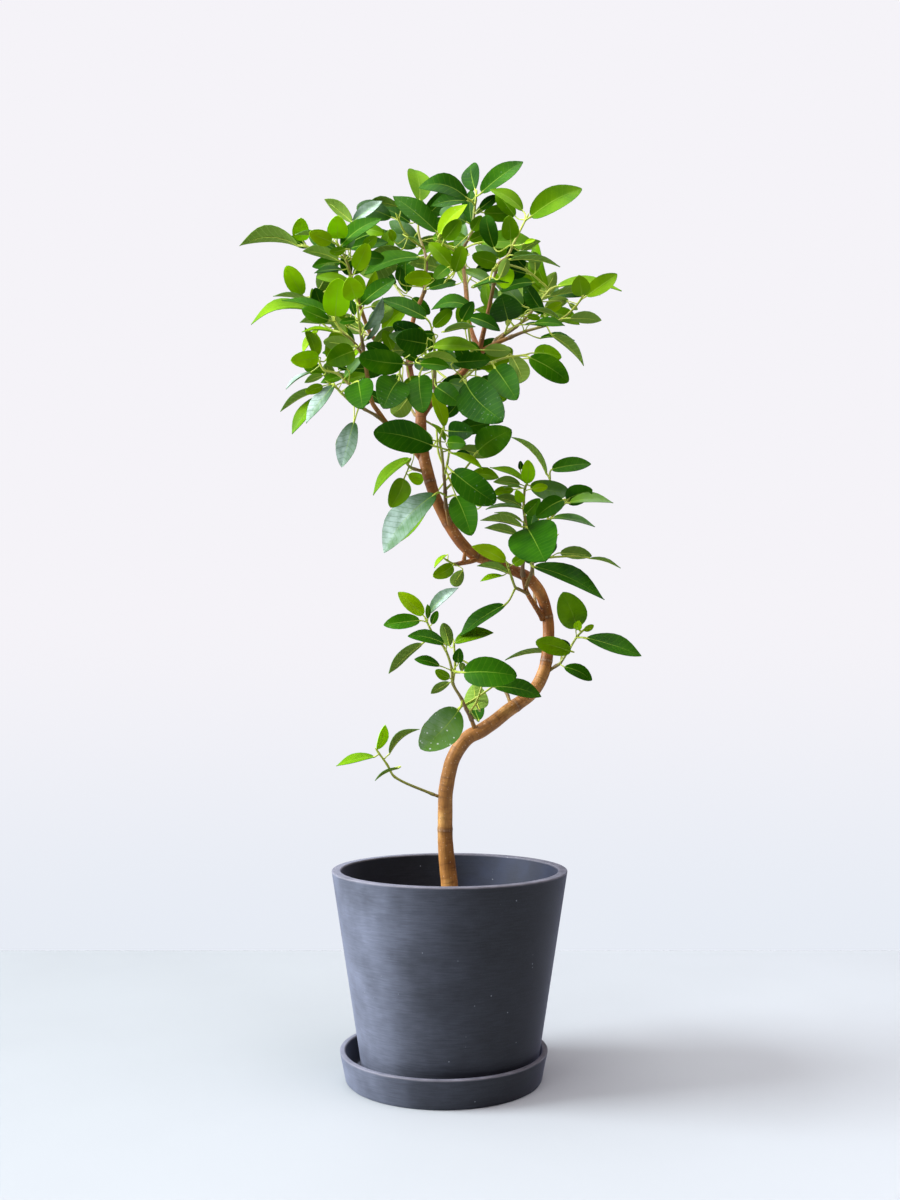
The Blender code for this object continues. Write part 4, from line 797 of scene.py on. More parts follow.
def addFillers(crowd, crown):
    s = fillerSettings
    draw = random.Random(s["seed"])
    covered = set().union(*[seenCells(leaf) for shoot in crown.values() for leaf in shoot["leaves"]])
    (left, foot), (right, head) = (sorted(cell[i] for cell in covered)[::len(covered) - 1] for i in (0, 1))
    gaps = {(x, z) for x in range(left, right + 1) for z in range(foot, head + 1)
            if (x, z) in covered or isGap((x, z), covered)}
    low, high = (Vector(corner) / mm for corner in cadBox)
    for name, count in s["counts"].items():
        stems = {**shoots, **backShoots}[name]["stems"]
        choices = []
        for _ in range(s["candidates"] * count // 4):
            rows = draw.choice(stems)
            k = draw.randrange(max(len(rows) - 1, 1))
            (x0, z0, d0, _), (x1, z1, d1, _) = rows[k], rows[min(k + 1, len(rows) - 1)]
            t = draw.random()
            angle = draw.uniform(-s["lean"], math.pi + s["lean"])
            turn = angle + draw.uniform(-s["turn"], s["turn"])
            stalk, length = draw.uniform(*s["stalk"]), draw.uniform(*s["length"])
            baseX = x0 + (x1 - x0) * t + math.cos(angle) * stalk
            baseZ = z0 + (z1 - z0) * t + math.sin(angle) * stalk
            width = length * draw.uniform(*s["slim"]) * (-1 if draw.random() < s["underShare"] else 1)
            row = (baseX, baseZ, baseX + math.cos(turn) * length, baseZ + math.sin(turn) * length,
                   width, d0 + (d1 - d0) * t + draw.uniform(*s["behind"]))
            leaf = Leaf(row, crown[name]["stems"], 0, (0, 0))
            choices.append((leaf, seenCells(leaf), draw.choice(s["tones"])))
        placed = 0
        while choices and placed < count:
            gains = [len(cells & gaps - covered) - 2 * len(cells - gaps) for _, cells, _ in choices]
            if max(gains) <= 0:
                break
            leaf, cells, tone = choices.pop(gains.index(max(gains)))
            tree, points = crowd.treeOf(leaf)
            inBox = all(low[i] < p[i] < high[i] for p in points for i in range(3))
            if not (inBox and crowd.isClear(leaf, name)):
                continue
            placed += 1
            crowd.leaves.append((tree, *crowd.corners(points)))
            covered |= cells
            crown[name]["leaves"].append(leaf)
            crown[name]["tones"] += tone


def layOutCrown():
    crowd = Crowd()
    for rows in [trunkRows, *limbs.values()]:
        crowd.addStem("wood", stemPoints(rows))
    everyShoot = {**shoots, **backShoots}
    crown = {}
    for name, shoot in everyShoot.items():
        first, *others = shoot["stems"]
        crown[name] = {"stems": [firstStem(name, first)] + [stemPoints(rows) for rows in others]}
        for points in crown[name]["stems"]:
            crowd.addStem(name, points)
    for name, shoot in everyShoot.items():
        rows = shoot["leaves"] if "leaves" in shoot else rowsBehind(shoot)
        crown[name]["leaves"] = [crowd.place(row, name, crown[name]["stems"]) for row in rows]
        crown[name]["tones"] = shoot["tones"] if "tones" in shoot else ("MD" * len(rows))[:len(rows)]
    planned = sum(len(shoot["leaves"]) for shoot in crown.values())
    addFillers(crowd, crown)
    print("crown laid out:", planned, "leaves and",
          sum(len(shoot["leaves"]) for shoot in crown.values()) - planned, "between them")
    return crown


crown = layOutCrown()

# Stems and wood

tubeSettings = {
    "stemSides": 8,
    "stemStep": 3.0,
    "stalkSides": 6,
    "knuckle": 0.22,            # swelling of a stem at each of its nodes
    "knuckleLength": 1.6,
    "budLength": 6.0,           # pointed bud on the end of each shoot
    "budRings": ((0.4, 0.95, 0.2), (0.75, 0.55, 0.15), (1.0, 0.12, 0.1)),   # way along, girth, age
    "sunk": 1.5,                # how far a shoot's stem goes into its limb
    "limbSides": 12,
    "trunkSides": 24,
    "trunkStep": 1.4,
    "collar": 0.45,             # swelling where a limb leaves the trunk
    "collarLength": 3.5,
    "stubGirth": 1.3,           # the pruned limb is thick for its age
    "corked": 1.2,              # a limb thicker than this turns from green to bark
    "corkRange": 2.2,
    "green": 0.75,              # and so does a stem, from this radius on
    "greenRange": 0.9,
    "youngest": 0.15,
    "oldest": 0.95,
    "rings": [(-17, 530), (25, 462), (36, 455.5), (84, 405), (-1, 492), (52, 449.5), (88, 366),
              (60, 325), (-4, 215), (-24, 556)],
    "ringSwell": 0.05,
    "ringLength": 1.8,
    "ringReach": 14.0,
    "trunkSkin": 9.0,           # nothing of the trunk's skin is further from its axis
    "roughSize": 9.0,           # size of the slow unevenness of the wood
    "roughDepth": 0.035,
}


def smoothPath(points, step):
    # a smooth line through (point, radius) pairs, as (point, radius, distance to the nearest pair)
    places = [p for p, _ in points]
    places = [places[0] * 2 - places[1]] + places + [places[-1] * 2 - places[-2]]
    path = []
    for i in range(len(points) - 1):
        a, b, c, d = places[i:i + 4]
        (_, r0), (_, r1) = points[i:i + 2]
        length = (c - b).length
        count = max(1, round(length / step))
        pull = length / 6
        out = (c - a).normalized() * pull * 2
        into = (d - b).normalized() * pull * 2
        for k in range(count + (i == len(points) - 2)):
            t = k / count
            place = alongCurve(b, b + out, c - into, c, t)
            path.append((place, r0 + (r1 - r0) * t, min(t, 1 - t) * length))
    return path


def addTube(bm, rings, sides, materialIndex):
    # a closed tube in mm through (place, radius, age) rings, its ends drawn to a point
    uv = bm.loops.layers.uv["surface"]
    ageLayer = bm.verts.layers.float["age"]
    rings = [(rings[0][0], 0, rings[0][2]), *rings, (rings[-1][0], 0, rings[-1][2])]
    last = len(rings) - 1
    along = [0.0]
    for (a, _, _), (b, _, _) in zip(rings, rings[1:]):
        along.append(along[-1] + (b - a).length)
    frames = []
    across = None
    for i in range(last + 1):
        heading = rings[min(i + 2, last)][0] - rings[max(i - 2, 0)][0]
        heading.normalize()
        if across is None:
            across = heading.orthogonal()
        across = (across - heading * across.dot(heading)).normalized()
        frames.append((across, heading.cross(across)))
    grid = bmesh.ops.create_grid(bm, x_segments=sides, y_segments=last, size=0.5)
    verts = grid["verts"]
    faces = {f for v in verts for f in v.link_faces}
    where = {v: (round((v.co.x + 0.5) * sides), round((v.co.y + 0.5) * last)) for v in verts}
    for face in faces:
        face.smooth = True
        face.material_index = materialIndex
        for loop in face.loops:
            turn, row = where[loop.vert]
            girth = 2 * math.pi * max(rings[row][1], 0.3)
            loop[uv].uv = (turn / sides * girth * mm, along[row] * mm)
    for v, (turn, row) in where.items():
        place, radius, age = rings[row]
        angle = 2 * math.pi * turn / sides
        u, w = frames[row]
        v.co = (place + (u * math.cos(angle) + w * math.sin(angle)) * radius) * mm
        v[ageLayer] = age
    bmesh.ops.remove_doubles(bm, verts=verts, dist=0.00001)
    return [v for v in verts if v.is_valid]


vertexLayers = ("age", "bloomAndSheen", "along", "marks", "veins")


def newPlantMesh():
    bm = bmesh.new()
    bm.loops.layers.uv.new("surface")
    for layer in vertexLayers:
        bm.verts.layers.float.new(layer)
    bm.faces.layers.float.new("under")
    return bm


def makeWoodMaterial():
    # living fig bark: thin and smooth, tan where it is old and olive-green where it is young, with
    # pale breathing pores and darker stretch marks round the stem; it reddens higher up
    material, node, shader = newMaterial("figBark")
    surface = node("UVMap", uv_map="surface")
    age = node("Attribute", attribute_name="age").outputs["Fac"]
    scar = node("Attribute", attribute_name="marks").outputs["Fac"]
    place = node("TexCoord").outputs["Object"]
    blotch = node("TexNoise", {"Scale": 1 / (28 * mm), "Detail": 3.0, "Roughness": 0.6, "Vector": place})
    streakPlace = node("Mapping", {"Scale": (1 / (2.2 * mm), 1 / (16 * mm), 1), "Vector": surface})
    streak = node("TexNoise", {"Scale": 1.0, "Detail": 4.0, "Roughness": 0.65, "Vector": streakPlace})
    bandPlace = node("Mapping", {"Scale": (1 / (14 * mm), 1 / (2.4 * mm), 1), "Vector": surface})
    band = node("TexNoise", {"Scale": 1.0, "Detail": 3.0, "Vector": bandPlace})
    # breathing pores about a millimetre wide, in every other cell
    porePlace = node("Mapping", {"Scale": (1 / (3.2 * mm), 1 / (2.2 * mm), 1), "Vector": surface})
    pore = node("TexVoronoi", {"Scale": 1.0, "Randomness": 1.0, "Vector": porePlace})
    poreMask = node("MapRange", [pore, 0.12, 0.26, 1.0, 0.0], interpolation_type="SMOOTHSTEP")
    chosen = node("SeparateColor", [pore.outputs["Color"]])
    few = node("Math", [chosen, 0.5], operation="GREATER_THAN")
    poreMask = node("Math", [poreMask, few], operation="MULTIPLY")
    tan = node("ValToRGB", [blotch])
    setStops(tan, (0.3, "#845628"), (0.5, "#ab753a"), (0.72, "#d8a55e"))
    streakShade = node("MapRange", [streak, 0.3, 0.7, 0.72, 1.18])
    shaded = node("Mix", {0: 1.0, 6: tan, 7: streakShade}, data_type="RGBA", blend_type="MULTIPLY")
    bandMask = node("MapRange", [band, 0.56, 0.7, 0.0, 0.55])
    split = node("SeparateXYZ", [place])
    higher = node("MapRange", [split.outputs["Z"], 0.27, 0.42, 0.0, 1.0], interpolation_type="SMOOTHSTEP")
    skin = node("Mix", {0: higher, 6: shaded, 7: "#dcc4ba"}, data_type="RGBA", blend_type="MULTIPLY")
    young = node("MapRange", [age, 0.1, 0.5, 1.0, 0.0], interpolation_type="SMOOTHSTEP")
    youngTone = node("Mix", {0: blotch, 6: "#7d7030", 7: "#7e5c34"}, data_type="RGBA")
    poreShare = node("Math", [poreMask, 0.75], operation="MULTIPLY")
    # old leaf scars ring the trunk: a pale ridge between two dark lines
    groove = node("MapRange", [scar, 0.1, 0.5, 0.0, 0.45])
    ridge = node("MapRange", [scar, 0.6, 0.9, 0.0, 0.8])
    worn = node("MapRange", [streak, 0.42, 0.6, 0.0, 0.8])
    ridge = node("Math", [ridge, worn], operation="MULTIPLY")
    for share, tint in ((bandMask, "#54371f"), (young, youngTone), (poreShare, "#cfa883"),
                        (groove, "#4e3520"), (ridge, "#b8957a")):
        skin = node("Mix", {0: share, 6: skin, 7: tint}, data_type="RGBA")
    rough = node("MapRange", {0: streak, 3: 0.4, 4: 0.62})
    shader.inputs["Specular IOR Level"].default_value = 0.3
    raised = node("Math", [poreMask, 0.5, 0.0], operation="MULTIPLY_ADD")
    height = node("Math", [streak, raised], operation="ADD")
    bump = node("Bump", {"Strength": 0.5, "Distance": 0.4 * mm, "Height": height})
    setInputs(shader, {"Base Color": skin, "Roughness": rough, "Normal": bump})
    return material


def makeTrunk():
    s = tubeSettings
    bm = newPlantMesh()
    marks = bm.verts.layers.float["marks"]
    rings = [(place, radius, 1.0) for place, radius, _ in smoothPath(stemPoints(trunkRows), s["trunkStep"])]
    addTube(bm, rings, s["trunkSides"], 0)
    for name, rows in limbs.items():
        path = smoothPath(stemPoints(rows), s["stemStep"])
        start = path[0][0]
        isStub = name.startswith("stub")
        rings = []
        for place, radius, _ in path:
            swell = math.exp(-(place - start).length / s["collarLength"])
            swell = 1 + s["collar"] * swell / max(radius / 2, 1)
            age = s["oldest"] if isStub else clamped((radius - s["corked"]) / s["corkRange"], 0, s["oldest"])
            rings.append((place, radius * swell * (s["stubGirth"] if isStub else 1), age))
        addTube(bm, rings, s["limbSides"], 0)
    centres = [p for p, _, _ in smoothPath(stemPoints(trunkRows), 1.0)]
    ringPlaces = [min(centres, key=lambda p: (p - asSeen(x, z, p.y)).length) for x, z in s["rings"]]
    for v in bm.verts:
        place = v.co / mm
        near = min(ringPlaces, key=lambda p: (p - place).length)
        axis = min(centres, key=lambda p: (p - place).length_squared)
        out = place - axis
        if out.length > s["trunkSkin"] or v[bm.verts.layers.float["age"]] < 1:
            continue
        lump = noise.noise(place / s["roughSize"]) * s["roughDepth"]
        ring = 0
        if (near - place).length < s["ringReach"]:
            ring = math.exp(-((axis - near).length / s["ringLength"]) ** 2)
        v.co = (axis + out * (1 + lump + s["ringSwell"] * ring)) * mm
        v[marks] = ring
    piece = keepMesh(bm, "trunkAndLimbs", [makeWoodMaterial()])
    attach(piece, "root")
    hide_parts("trunk_and_limbs")
    print("trunk and limbs:", len(piece.data.polygons), "faces")


makeTrunk()

# Leaves

bladeSettings = {
    "columns": (-1.0, -0.82, -0.5, -0.17, 0.0, 0.17, 0.5, 0.82, 1.0),
    "smallColumns": (-1.0, -0.62, -0.2, 0.0, 0.2, 0.62, 1.0),
    "rows": 13,
    "smallRows": 9,
    "smallLength": 34.0,
    "thickness": 0.85,
    "edgeThickness": 0.45,
    "wave": 0.022,              # rise and fall of the edge over the blade's width
    "phase": (0, 6.28),
    "turns": (4, 9),
    "sweep": 0.05,              # sideways bend of the midrib over the blade's length
    "curl": 0.05,               # how far the tip turns down
    "curlFrom": 0.55,
    "baseRound": (0.44, 0.54),  # lower is rounder
    "tipRound": (0.44, 0.56),
    "slimTip": 0.6,
    "broad": (0.88, 1.08),      # below one, a blade is broadest nearer its stalk
    "ribRadius": 0.75,
    "ribRings": (0.06, 0.2, 0.4, 0.6, 0.8),
    "stalkRadius": 0.95,
    "fullLength": 45,           # leaves of this length have such a stalk, and others in proportion
    "stalkSteps": 6,
    "toneShift": 0.07,
    "topShade": 0.07,           # painted shade: leaves at the top of the crown, where the overhead light falls strongest, are this much deeper in colour
    "topFrom": 690,
    "topRange": 90,
    "splashedLeaf": ("left_cluster", 15),
    "splashed": 0.8,            # how far its water marks show, and how far those of a few others do
    "sprinkled": 0.08,
    "sprinkledShare": 0.3,
    "veinLengths": (22, 40),    # side veins show from the first length on, fully from the second
    "seed": 41,
}
# How old a leaf looks (0 fresh yellow-green, 1 deep green) and how much pale bloom it carries, which is
# partly wax bloom and partly a painted reflection of the bright sky
leafTones = {"Y": (0.02, 0.0), "B": (0.18, 0.0), "M": (0.45, 0.0), "V": (0.66, 0.0), "D": (0.86, 0.02),
             "G": (0.62, 0.45), "R": (0.85, 0.95)}


def bladeHalf(leaf, share, shape):
    if share <= 0 or share >= 1:
        return 0
    power = shape["baseRound"] + (shape["tipRound"] - shape["baseRound"]) * share
    return math.sin(math.pi * share ** shape["broad"]) ** power * leaf.width / 2


def bladePlace(leaf, share, column, shape):
    half = bladeHalf(leaf, share, shape)
    lift = leaf.arch * 4 * share * (1 - share) * shape["archShare"]
    lift += half * math.sin(leafSettings["fold"]) * abs(column) ** 1.3
    wave = math.sin(shape["phase"] + share * shape["turns"] + column)
    lift += shape["wave"] * leaf.width * wave * column ** 2
    lift -= shape["curl"] * leaf.length * max(share - bladeSettings["curlFrom"], 0) ** 2 * 4 * (1 - share) * 4
    sweep = shape["sweep"] * leaf.length * math.sin(math.pi * share)
    across = column * half * math.cos(leafSettings["fold"]) + sweep
    return leaf.base + leaf.axis * leaf.length * share + leaf.side * across + leaf.normal * lift


def addBlade(bm, leaf, tone, shape, marks):
    s = bladeSettings
    small = leaf.length < s["smallLength"]
    columns = s["smallColumns"] if small else s["columns"]
    rows = s["smallRows"] if small else s["rows"]
    uv = bm.loops.layers.uv["surface"]
    layers = {name: bm.verts.layers.float[name] for name in vertexLayers}
    under = bm.faces.layers.float["under"]
    lastColumn = len(columns) - 1
    grid = bmesh.ops.create_grid(bm, x_segments=lastColumn, y_segments=rows, size=0.5)
    # kept in order, so that each run joins the same points at the ends of the blade
    lower = dict.fromkeys(grid["verts"])
    faces = list(dict.fromkeys(f for v in lower for f in v.link_faces))
    raised = bmesh.ops.extrude_face_region(bm, geom=faces, use_keep_orig=True)
    upper = dict.fromkeys(g for g in raised["geom"] if isinstance(g, bmesh.types.BMVert))
    where = {}
    for v in lower | upper:
        row = round((v.co.y + 0.5) * rows)
        share = 0.5 - 0.5 * math.cos(math.pi * row / rows)
        where[v] = (share, columns[round((v.co.x + 0.5) * lastColumn)])
    everyFace = {f for v in where for f in v.link_faces}
    walls = {f for f in everyFace if any(v in lower for v in f.verts) and any(v in upper for v in f.verts)}
    for face in everyFace:
        face.smooth = True
        face.material_index = 0
        face[under] = 1.0 if all(v in lower for v in face.verts) else 0.0
        for loop in face.loops:
            share, column = where[loop.vert]
            loop[uv].uv = (column * bladeHalf(leaf, share, shape) * mm, share * leaf.length * mm)
    for edge in {e for f in walls for e in f.edges}:
        if sum(f in walls for f in edge.link_faces) == 1:
            edge.smooth = False
    age, bloomAndSheen = leafTones[tone]
    shortest, longest = s["veinLengths"]
    veins = clamped((leaf.length - shortest) / (longest - shortest))
    for v, (share, column) in where.items():
        thick = s["thickness"] + (s["edgeThickness"] - s["thickness"]) * column ** 2
        side = 0.5 if v in upper else -0.5
        v.co = (bladePlace(leaf, share, column, shape) + leaf.normal * thick * side) * mm
        v[layers["age"]] = clamped(age + shape["tone"])
        # the pale share is partly wax bloom and partly a painted reflection of the sky
        v[layers["bloomAndSheen"]] = bloomAndSheen
        v[layers["along"]] = share
        v[layers["marks"]] = marks
        v[layers["veins"]] = veins
    for side in (upper, lower):
        bmesh.ops.remove_doubles(bm, verts=list(side), dist=0.00002)


def addStalk(bm, leaf, shape):
    # the stalk bends into the midrib, which stands out under the blade and thins towards its tip
    s = bladeSettings
    root, base = leaf.root, leaf.base
    length = max((base - root).length, 1)
    along = (base - root).normalized()
    firstPull = root + along * length * 0.4
    lastPull = base - (leaf.axis * 0.75 + along * 0.25).normalized() * length * 0.35
    radius = s["stalkRadius"] * clamped(leaf.length / s["fullLength"], 0.6, 1.1)
    rings = []
    for k in range(s["stalkSteps"] + 1):
        t = k / s["stalkSteps"]
        place = alongCurve(root, firstPull, lastPull, base, t)
        rings.append((place, radius * (1.15 - 0.3 * math.sin(math.pi * t)), 0.1 + 0.1 * (1 - t)))
    for share in s["ribRings"]:
        place = bladePlace(leaf, share, 0, shape) - leaf.normal * 0.3
        rings.append((place, radius * s["ribRadius"] * (1 - 0.75 * share), 0.05))
    addTube(bm, rings, tubeSettings["stalkSides"], 1)


def makeLeafMaterial():
    # leathery fig leaf: thick waxy skin with a soft gloss above, pale and matt below, a light midrib
    # and faint side veins that run out to the edge
    material, node, shader = newMaterial("figLeaf")
    surface = node("UVMap", uv_map="surface")
    age, bloomAndSheen, under, along, marks, veins = [
        node("Attribute", attribute_name=name).outputs["Fac"]
        for name in ("age", "bloomAndSheen", "under", "along", "marks", "veins")]
    place = node("TexCoord").outputs["Object"]
    inMm = node("VectorMath", {0: surface, "Scale": 1 / mm}, operation="SCALE")
    split = node("SeparateXYZ", [inMm])
    across = node("Math", [split.outputs["X"]], operation="ABSOLUTE")

    # midrib, about 1 mm wide at the stalk and finer towards the tip
    ribWidth = node("MapRange", {0: along, 3: 0.5, 4: 0.15})
    ribShare = node("Math", [across, ribWidth], operation="DIVIDE")
    rib = node("MapRange", [ribShare, 0.6, 1.3, 1.0, 0.0], interpolation_type="SMOOTHSTEP")
    ribFade = node("MapRange", [along, 0.4, 0.95, 1.0, 0.15])
    rib = node("Math", [rib, ribFade], operation="MULTIPLY")

    # side veins every 5.5 mm, drawn about 0.7 mm wide, broader than life, so that they show
    wobble = node("TexNoise", {"Scale": 1 / (9 * mm), "Detail": 1.0, "Vector": surface})
    wobbleShift = node("MapRange", {0: wobble, 3: -1.3, 4: 1.3})
    slant = node("Math", [across, -0.55, split.outputs["Y"]], operation="MULTIPLY_ADD")
    slant = node("Math", [slant, wobbleShift], operation="ADD")
    cycle = node("Math", [slant, 2.75], operation="PINGPONG")
    vein = node("MapRange", [cycle, 0.1, 0.6, 1.0, 0.0], interpolation_type="SMOOTHSTEP")
    vein = node("Math", [vein, veins], operation="MULTIPLY")

    # upper side
    patch = node("TexNoise", {"Scale": 1 / (22 * mm), "Detail": 2.0, "Vector": place})
    patchShift = node("MapRange", {0: patch, 3: -0.2, 4: 0.2})
    tone = node("Math", [age, patchShift], operation="ADD", use_clamp=True)
    upper = node("ValToRGB", [tone])
    setStops(upper, (0.0, "#9ade00"), (0.2, "#86ae00"), (0.45, "#608c00"), (0.7, "#306600"), (1.0, "#0e3c00"))
    veinShare = node("Math", [vein, 0.07], operation="MULTIPLY")
    # dusty wax bloom together with a painted sheen of reflected sky, uneven over 9 mm, worn off along the
    # veins and thicker on one half of the blade, where the painted sheen is brightest
    waxAndSheenNoise = node("TexNoise", {"Scale": 1 / (9 * mm), "Detail": 4.0, "Roughness": 0.6, "Vector": place})
    bloomAndSheenSpots = node("MapRange", [waxAndSheenNoise, 0.36, 0.62, 0.5, 1.0])
    fromStalk = node("MapRange", [along, 0.02, 0.42, 0.15, 1.0], interpolation_type="SMOOTHSTEP")
    bloomAndSheenSpots = node("Math", [bloomAndSheenSpots, fromStalk], operation="MULTIPLY")
    wornVein = node("MapRange", {0: vein, 3: 1.0, 4: 0.6})
    bloomAndSheenSpots = node("Math", [bloomAndSheenSpots, wornVein], operation="MULTIPLY")
    # the pale share is partly wax bloom and partly a painted reflection of the sky
    bloomAndSheenShare = node("Math", [bloomAndSheen, bloomAndSheenSpots], operation="MULTIPLY")
    half = node("MapRange", [split.outputs["X"], -3.0, 4.0, 1.0, 0.4], interpolation_type="SMOOTHSTEP")
    bloomAndSheenShare = node("Math", [bloomAndSheenShare, half], operation="MULTIPLY")
    bloomAndSheenTint = node("Mix", {0: bloomAndSheen, 6: "#6d8f45", 7: "#b6ccc4"}, data_type="RGBA")
    ribShown = node("Math", [rib, 0.45], operation="MULTIPLY")

    # dried water marks, a few millimetres across, on the leaves that were splashed
    drop = node("TexVoronoi", {"Scale": 1 / (4.5 * mm), "Vector": surface})
    dropMask = node("MapRange", [drop, 0.1, 0.2, 1.0, 0.0])
    dropShare = node("Math", [dropMask, marks], operation="MULTIPLY")
    above = upper
    for share, tint in ((veinShare, "#84b02c"), (bloomAndSheenShare, bloomAndSheenTint), (ribShown, "#93b43e"),
                        (dropShare, "#cfdcd2")):
        above = node("Mix", {0: share, 6: above, 7: tint}, data_type="RGBA")

    # underside
    lower = node("ValToRGB", [age])
    setStops(lower, (0.0, "#9aba34"), (0.4, "#7c9c3a"), (1.0, "#5e7e30"))
    netShare = node("Math", [vein, 0.3], operation="MULTIPLY")
    netted = node("Mix", {0: netShare, 6: lower, 7: "#a9c668"}, data_type="RGBA")
    both = node("Mix", {0: under, 6: above, 7: netted}, data_type="RGBA")

    gloss = node("TexNoise", {"Scale": 1 / (5 * mm), "Detail": 3.0, "Vector": place})
    glossTop = node("MapRange", {0: gloss, 3: 0.4, 4: 0.52})
    rough = node("Mix", {0: under, 2: glossTop, 3: 0.62}, data_type="FLOAT")
    shader.inputs["IOR"].default_value = 1.2
    shader.inputs["Specular IOR Level"].default_value = 0.2
    grain = node("Math", [gloss, 0.3], operation="MULTIPLY")
    sunk = node("Math", [vein, -0.5, grain], operation="MULTIPLY_ADD")
    sunk = node("Math", [sunk, rib], operation="SUBTRACT")
    bump = node("Bump", {"Strength": 0.25, "Distance": 0.25 * mm, "Height": sunk})
    setInputs(shader, {"Base Color": both, "Roughness": rough, "Normal": bump})
    return material


def makeStemMaterial():
    # green fig twig and leaf stalk: smooth and faintly shiny, yellow-green while young, turning to
    # olive and brown as the skin corks over
    material, node, shader = newMaterial("figTwig")
    surface = node("UVMap", uv_map="surface")
    age = node("Attribute", attribute_name="age").outputs["Fac"]
    fleckPlace = node("Mapping", {"Scale": (1 / (1.2 * mm), 1 / (3.5 * mm), 1), "Vector": surface})
    fleck = node("TexNoise", {"Scale": 1.0, "Detail": 3.0, "Vector": fleckPlace})
    shift = node("MapRange", {0: fleck, 3: -0.16, 4: 0.16})
    tone = node("Math", [age, shift], operation="ADD", use_clamp=True)
    skin = node("ValToRGB", [tone])
    setStops(skin, (0.0, "#b6ca3e"), (0.25, "#a2b036"), (0.5, "#8a8c36"), (0.75, "#80683a"), (1.0, "#6f5233"))
    rough = node("MapRange", {0: fleck, 3: 0.38, 4: 0.58})
    bump = node("Bump", {"Strength": 0.3, "Distance": 0.2 * mm, "Height": fleck})
    setInputs(shader, {"Base Color": skin, "Roughness": rough, "Normal": bump})
    return material


def addStem(bm, points, isFirst):
    s = tubeSettings
    path = smoothPath(points, s["stemStep"])
    rings = []
    if isFirst:
        place, radius, _ = path[0]
        back = (path[0][0] - path[1][0]).normalized()
        rings.append((place + back * s["sunk"], radius * 0.97, 0.9))
    for place, radius, away in path:
        swell = 1 + s["knuckle"] * math.exp(-(away / s["knuckleLength"]) ** 2)
        age = clamped((radius - s["green"]) / s["greenRange"], s["youngest"], s["oldest"])
        rings.append((place, radius * swell, age))
    tip, radius, _ = path[-1]
    ahead = (path[-1][0] - path[-2][0]).normalized()
    for way, girth, age in s["budRings"]:
        rings.append((tip + ahead * s["budLength"] * way, radius * girth, age))
    addTube(bm, rings, s["stemSides"], 1)


def keepInside(bm):
    low, high = cadBox
    for v in bm.verts:
        v.co = [clamped(v.co[i], low[i], high[i]) for i in range(3)]


def makeShoots():
    s = bladeSettings
    draw = random.Random(s["seed"])
    leafMaterial = makeLeafMaterial()
    stemMaterial = makeStemMaterial()
    faces = 0
    for name, shoot in crown.items():
        bm = newPlantMesh()
        for i, points in enumerate(shoot["stems"]):
            addStem(bm, points, i == 0)
        for i, (leaf, tone) in enumerate(zip(shoot["leaves"], shoot["tones"])):
            # leaves near the top of the crown are deepened in colour as painted shade against the overhead
            # light
            height = clamped((leaf.base.z - s["topFrom"]) / s["topRange"])
            shape = {
                "wave": s["wave"] * draw.uniform(0.3, 1.0),
                "phase": draw.uniform(*s["phase"]),
                "turns": draw.uniform(*s["turns"]),
                "sweep": s["sweep"] * draw.uniform(-1, 1),
                "curl": s["curl"] * draw.uniform(0, 1),
                "tone": draw.uniform(-s["toneShift"], s["toneShift"]) + s["topShade"] * height,
                "archShare": min(1, leaf.seenShare * 1.3),
                "baseRound": draw.uniform(*s["baseRound"]),
                "tipRound": draw.uniform(*s["tipRound"]) + s["slimTip"] * leaf.slimness,
                "broad": draw.uniform(*s["broad"]),
            }
            if (name, i) == s["splashedLeaf"]:
                marks = s["splashed"]
            else:
                marks = s["sprinkled"] * (draw.random() < s["sprinkledShare"])
            addBlade(bm, leaf, tone, shape, marks)
            addStalk(bm, leaf, shape)
        keepInside(bm)
        title = "".join(word.capitalize() for word in name.split("_"))
        piece = keepMesh(bm, "shoot" + title, [leafMaterial, stemMaterial])
        faces += len(piece.data.polygons)
        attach(piece, "root")
        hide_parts("shoot_" + name)
    print("leafy shoots:", len(crown), "pieces,", faces, "faces")


makeShoots()

# Pot, saucer and soil

potSettings = {
    "top": 180.2, "rimRadius": 105.0, "footRadius": 76.6, "wall": 8.2, "floor": 9.0,
    "edge": 1.4, "footEdge": 5.0, "recess": 3.0, "drain": 9.0, "steps": 128,
}
saucerSettings = {
    "x": -5.1, "height": 25.2, "rimRadius": 91.6, "baseRadius": 86.1, "wall": 5.0, "floor": 5.0,
    "edge": 1.2, "steps": 128,
}
potFoot = saucerSettings["floor"] + treeSettings["gap"]
stoneSettings = {
    "reach": 1.8,               # how far the worn band reaches from an edge of a rim
    "core": 0.8,                # wear is full within this distance
    "onTop": 0.8,               # wear of the flat top of a rim
}
soilSettings = {
    "top": 147.0, "edgeDrop": 4.0, "steps": 72, "ringsOnTop": 14, "lump": 2.2, "lumpSize": 16,
    "grain": 1.1, "grainSize": 4.5, "crumbs": 170, "crumbSize": (1.2, 3.6), "seed": 7,
}


def rounded(corner, before, after, radius, steps, guard=0.0):
    # a corner of a profile, rounded off, with a point `guard` away on each side of it if asked for
    corner, before, after = (Vector(p) for p in (corner, before, after))
    back, ahead = (before - corner).normalized(), (after - corner).normalized()
    start, end = corner + back * radius, corner + ahead * radius
    curve = [start * (1 - t) ** 2 + corner * 2 * t * (1 - t) + end * t ** 2
             for t in (i / steps for i in range(steps + 1))]
    if guard:
        wall = guard if (before - corner).length > 4 * guard else 0
        curve = ([corner + back * guard] if wall else []) + curve
        curve += [corner + ahead * guard] if (after - corner).length > 4 * guard else []
    return [tuple(point) for point in curve]


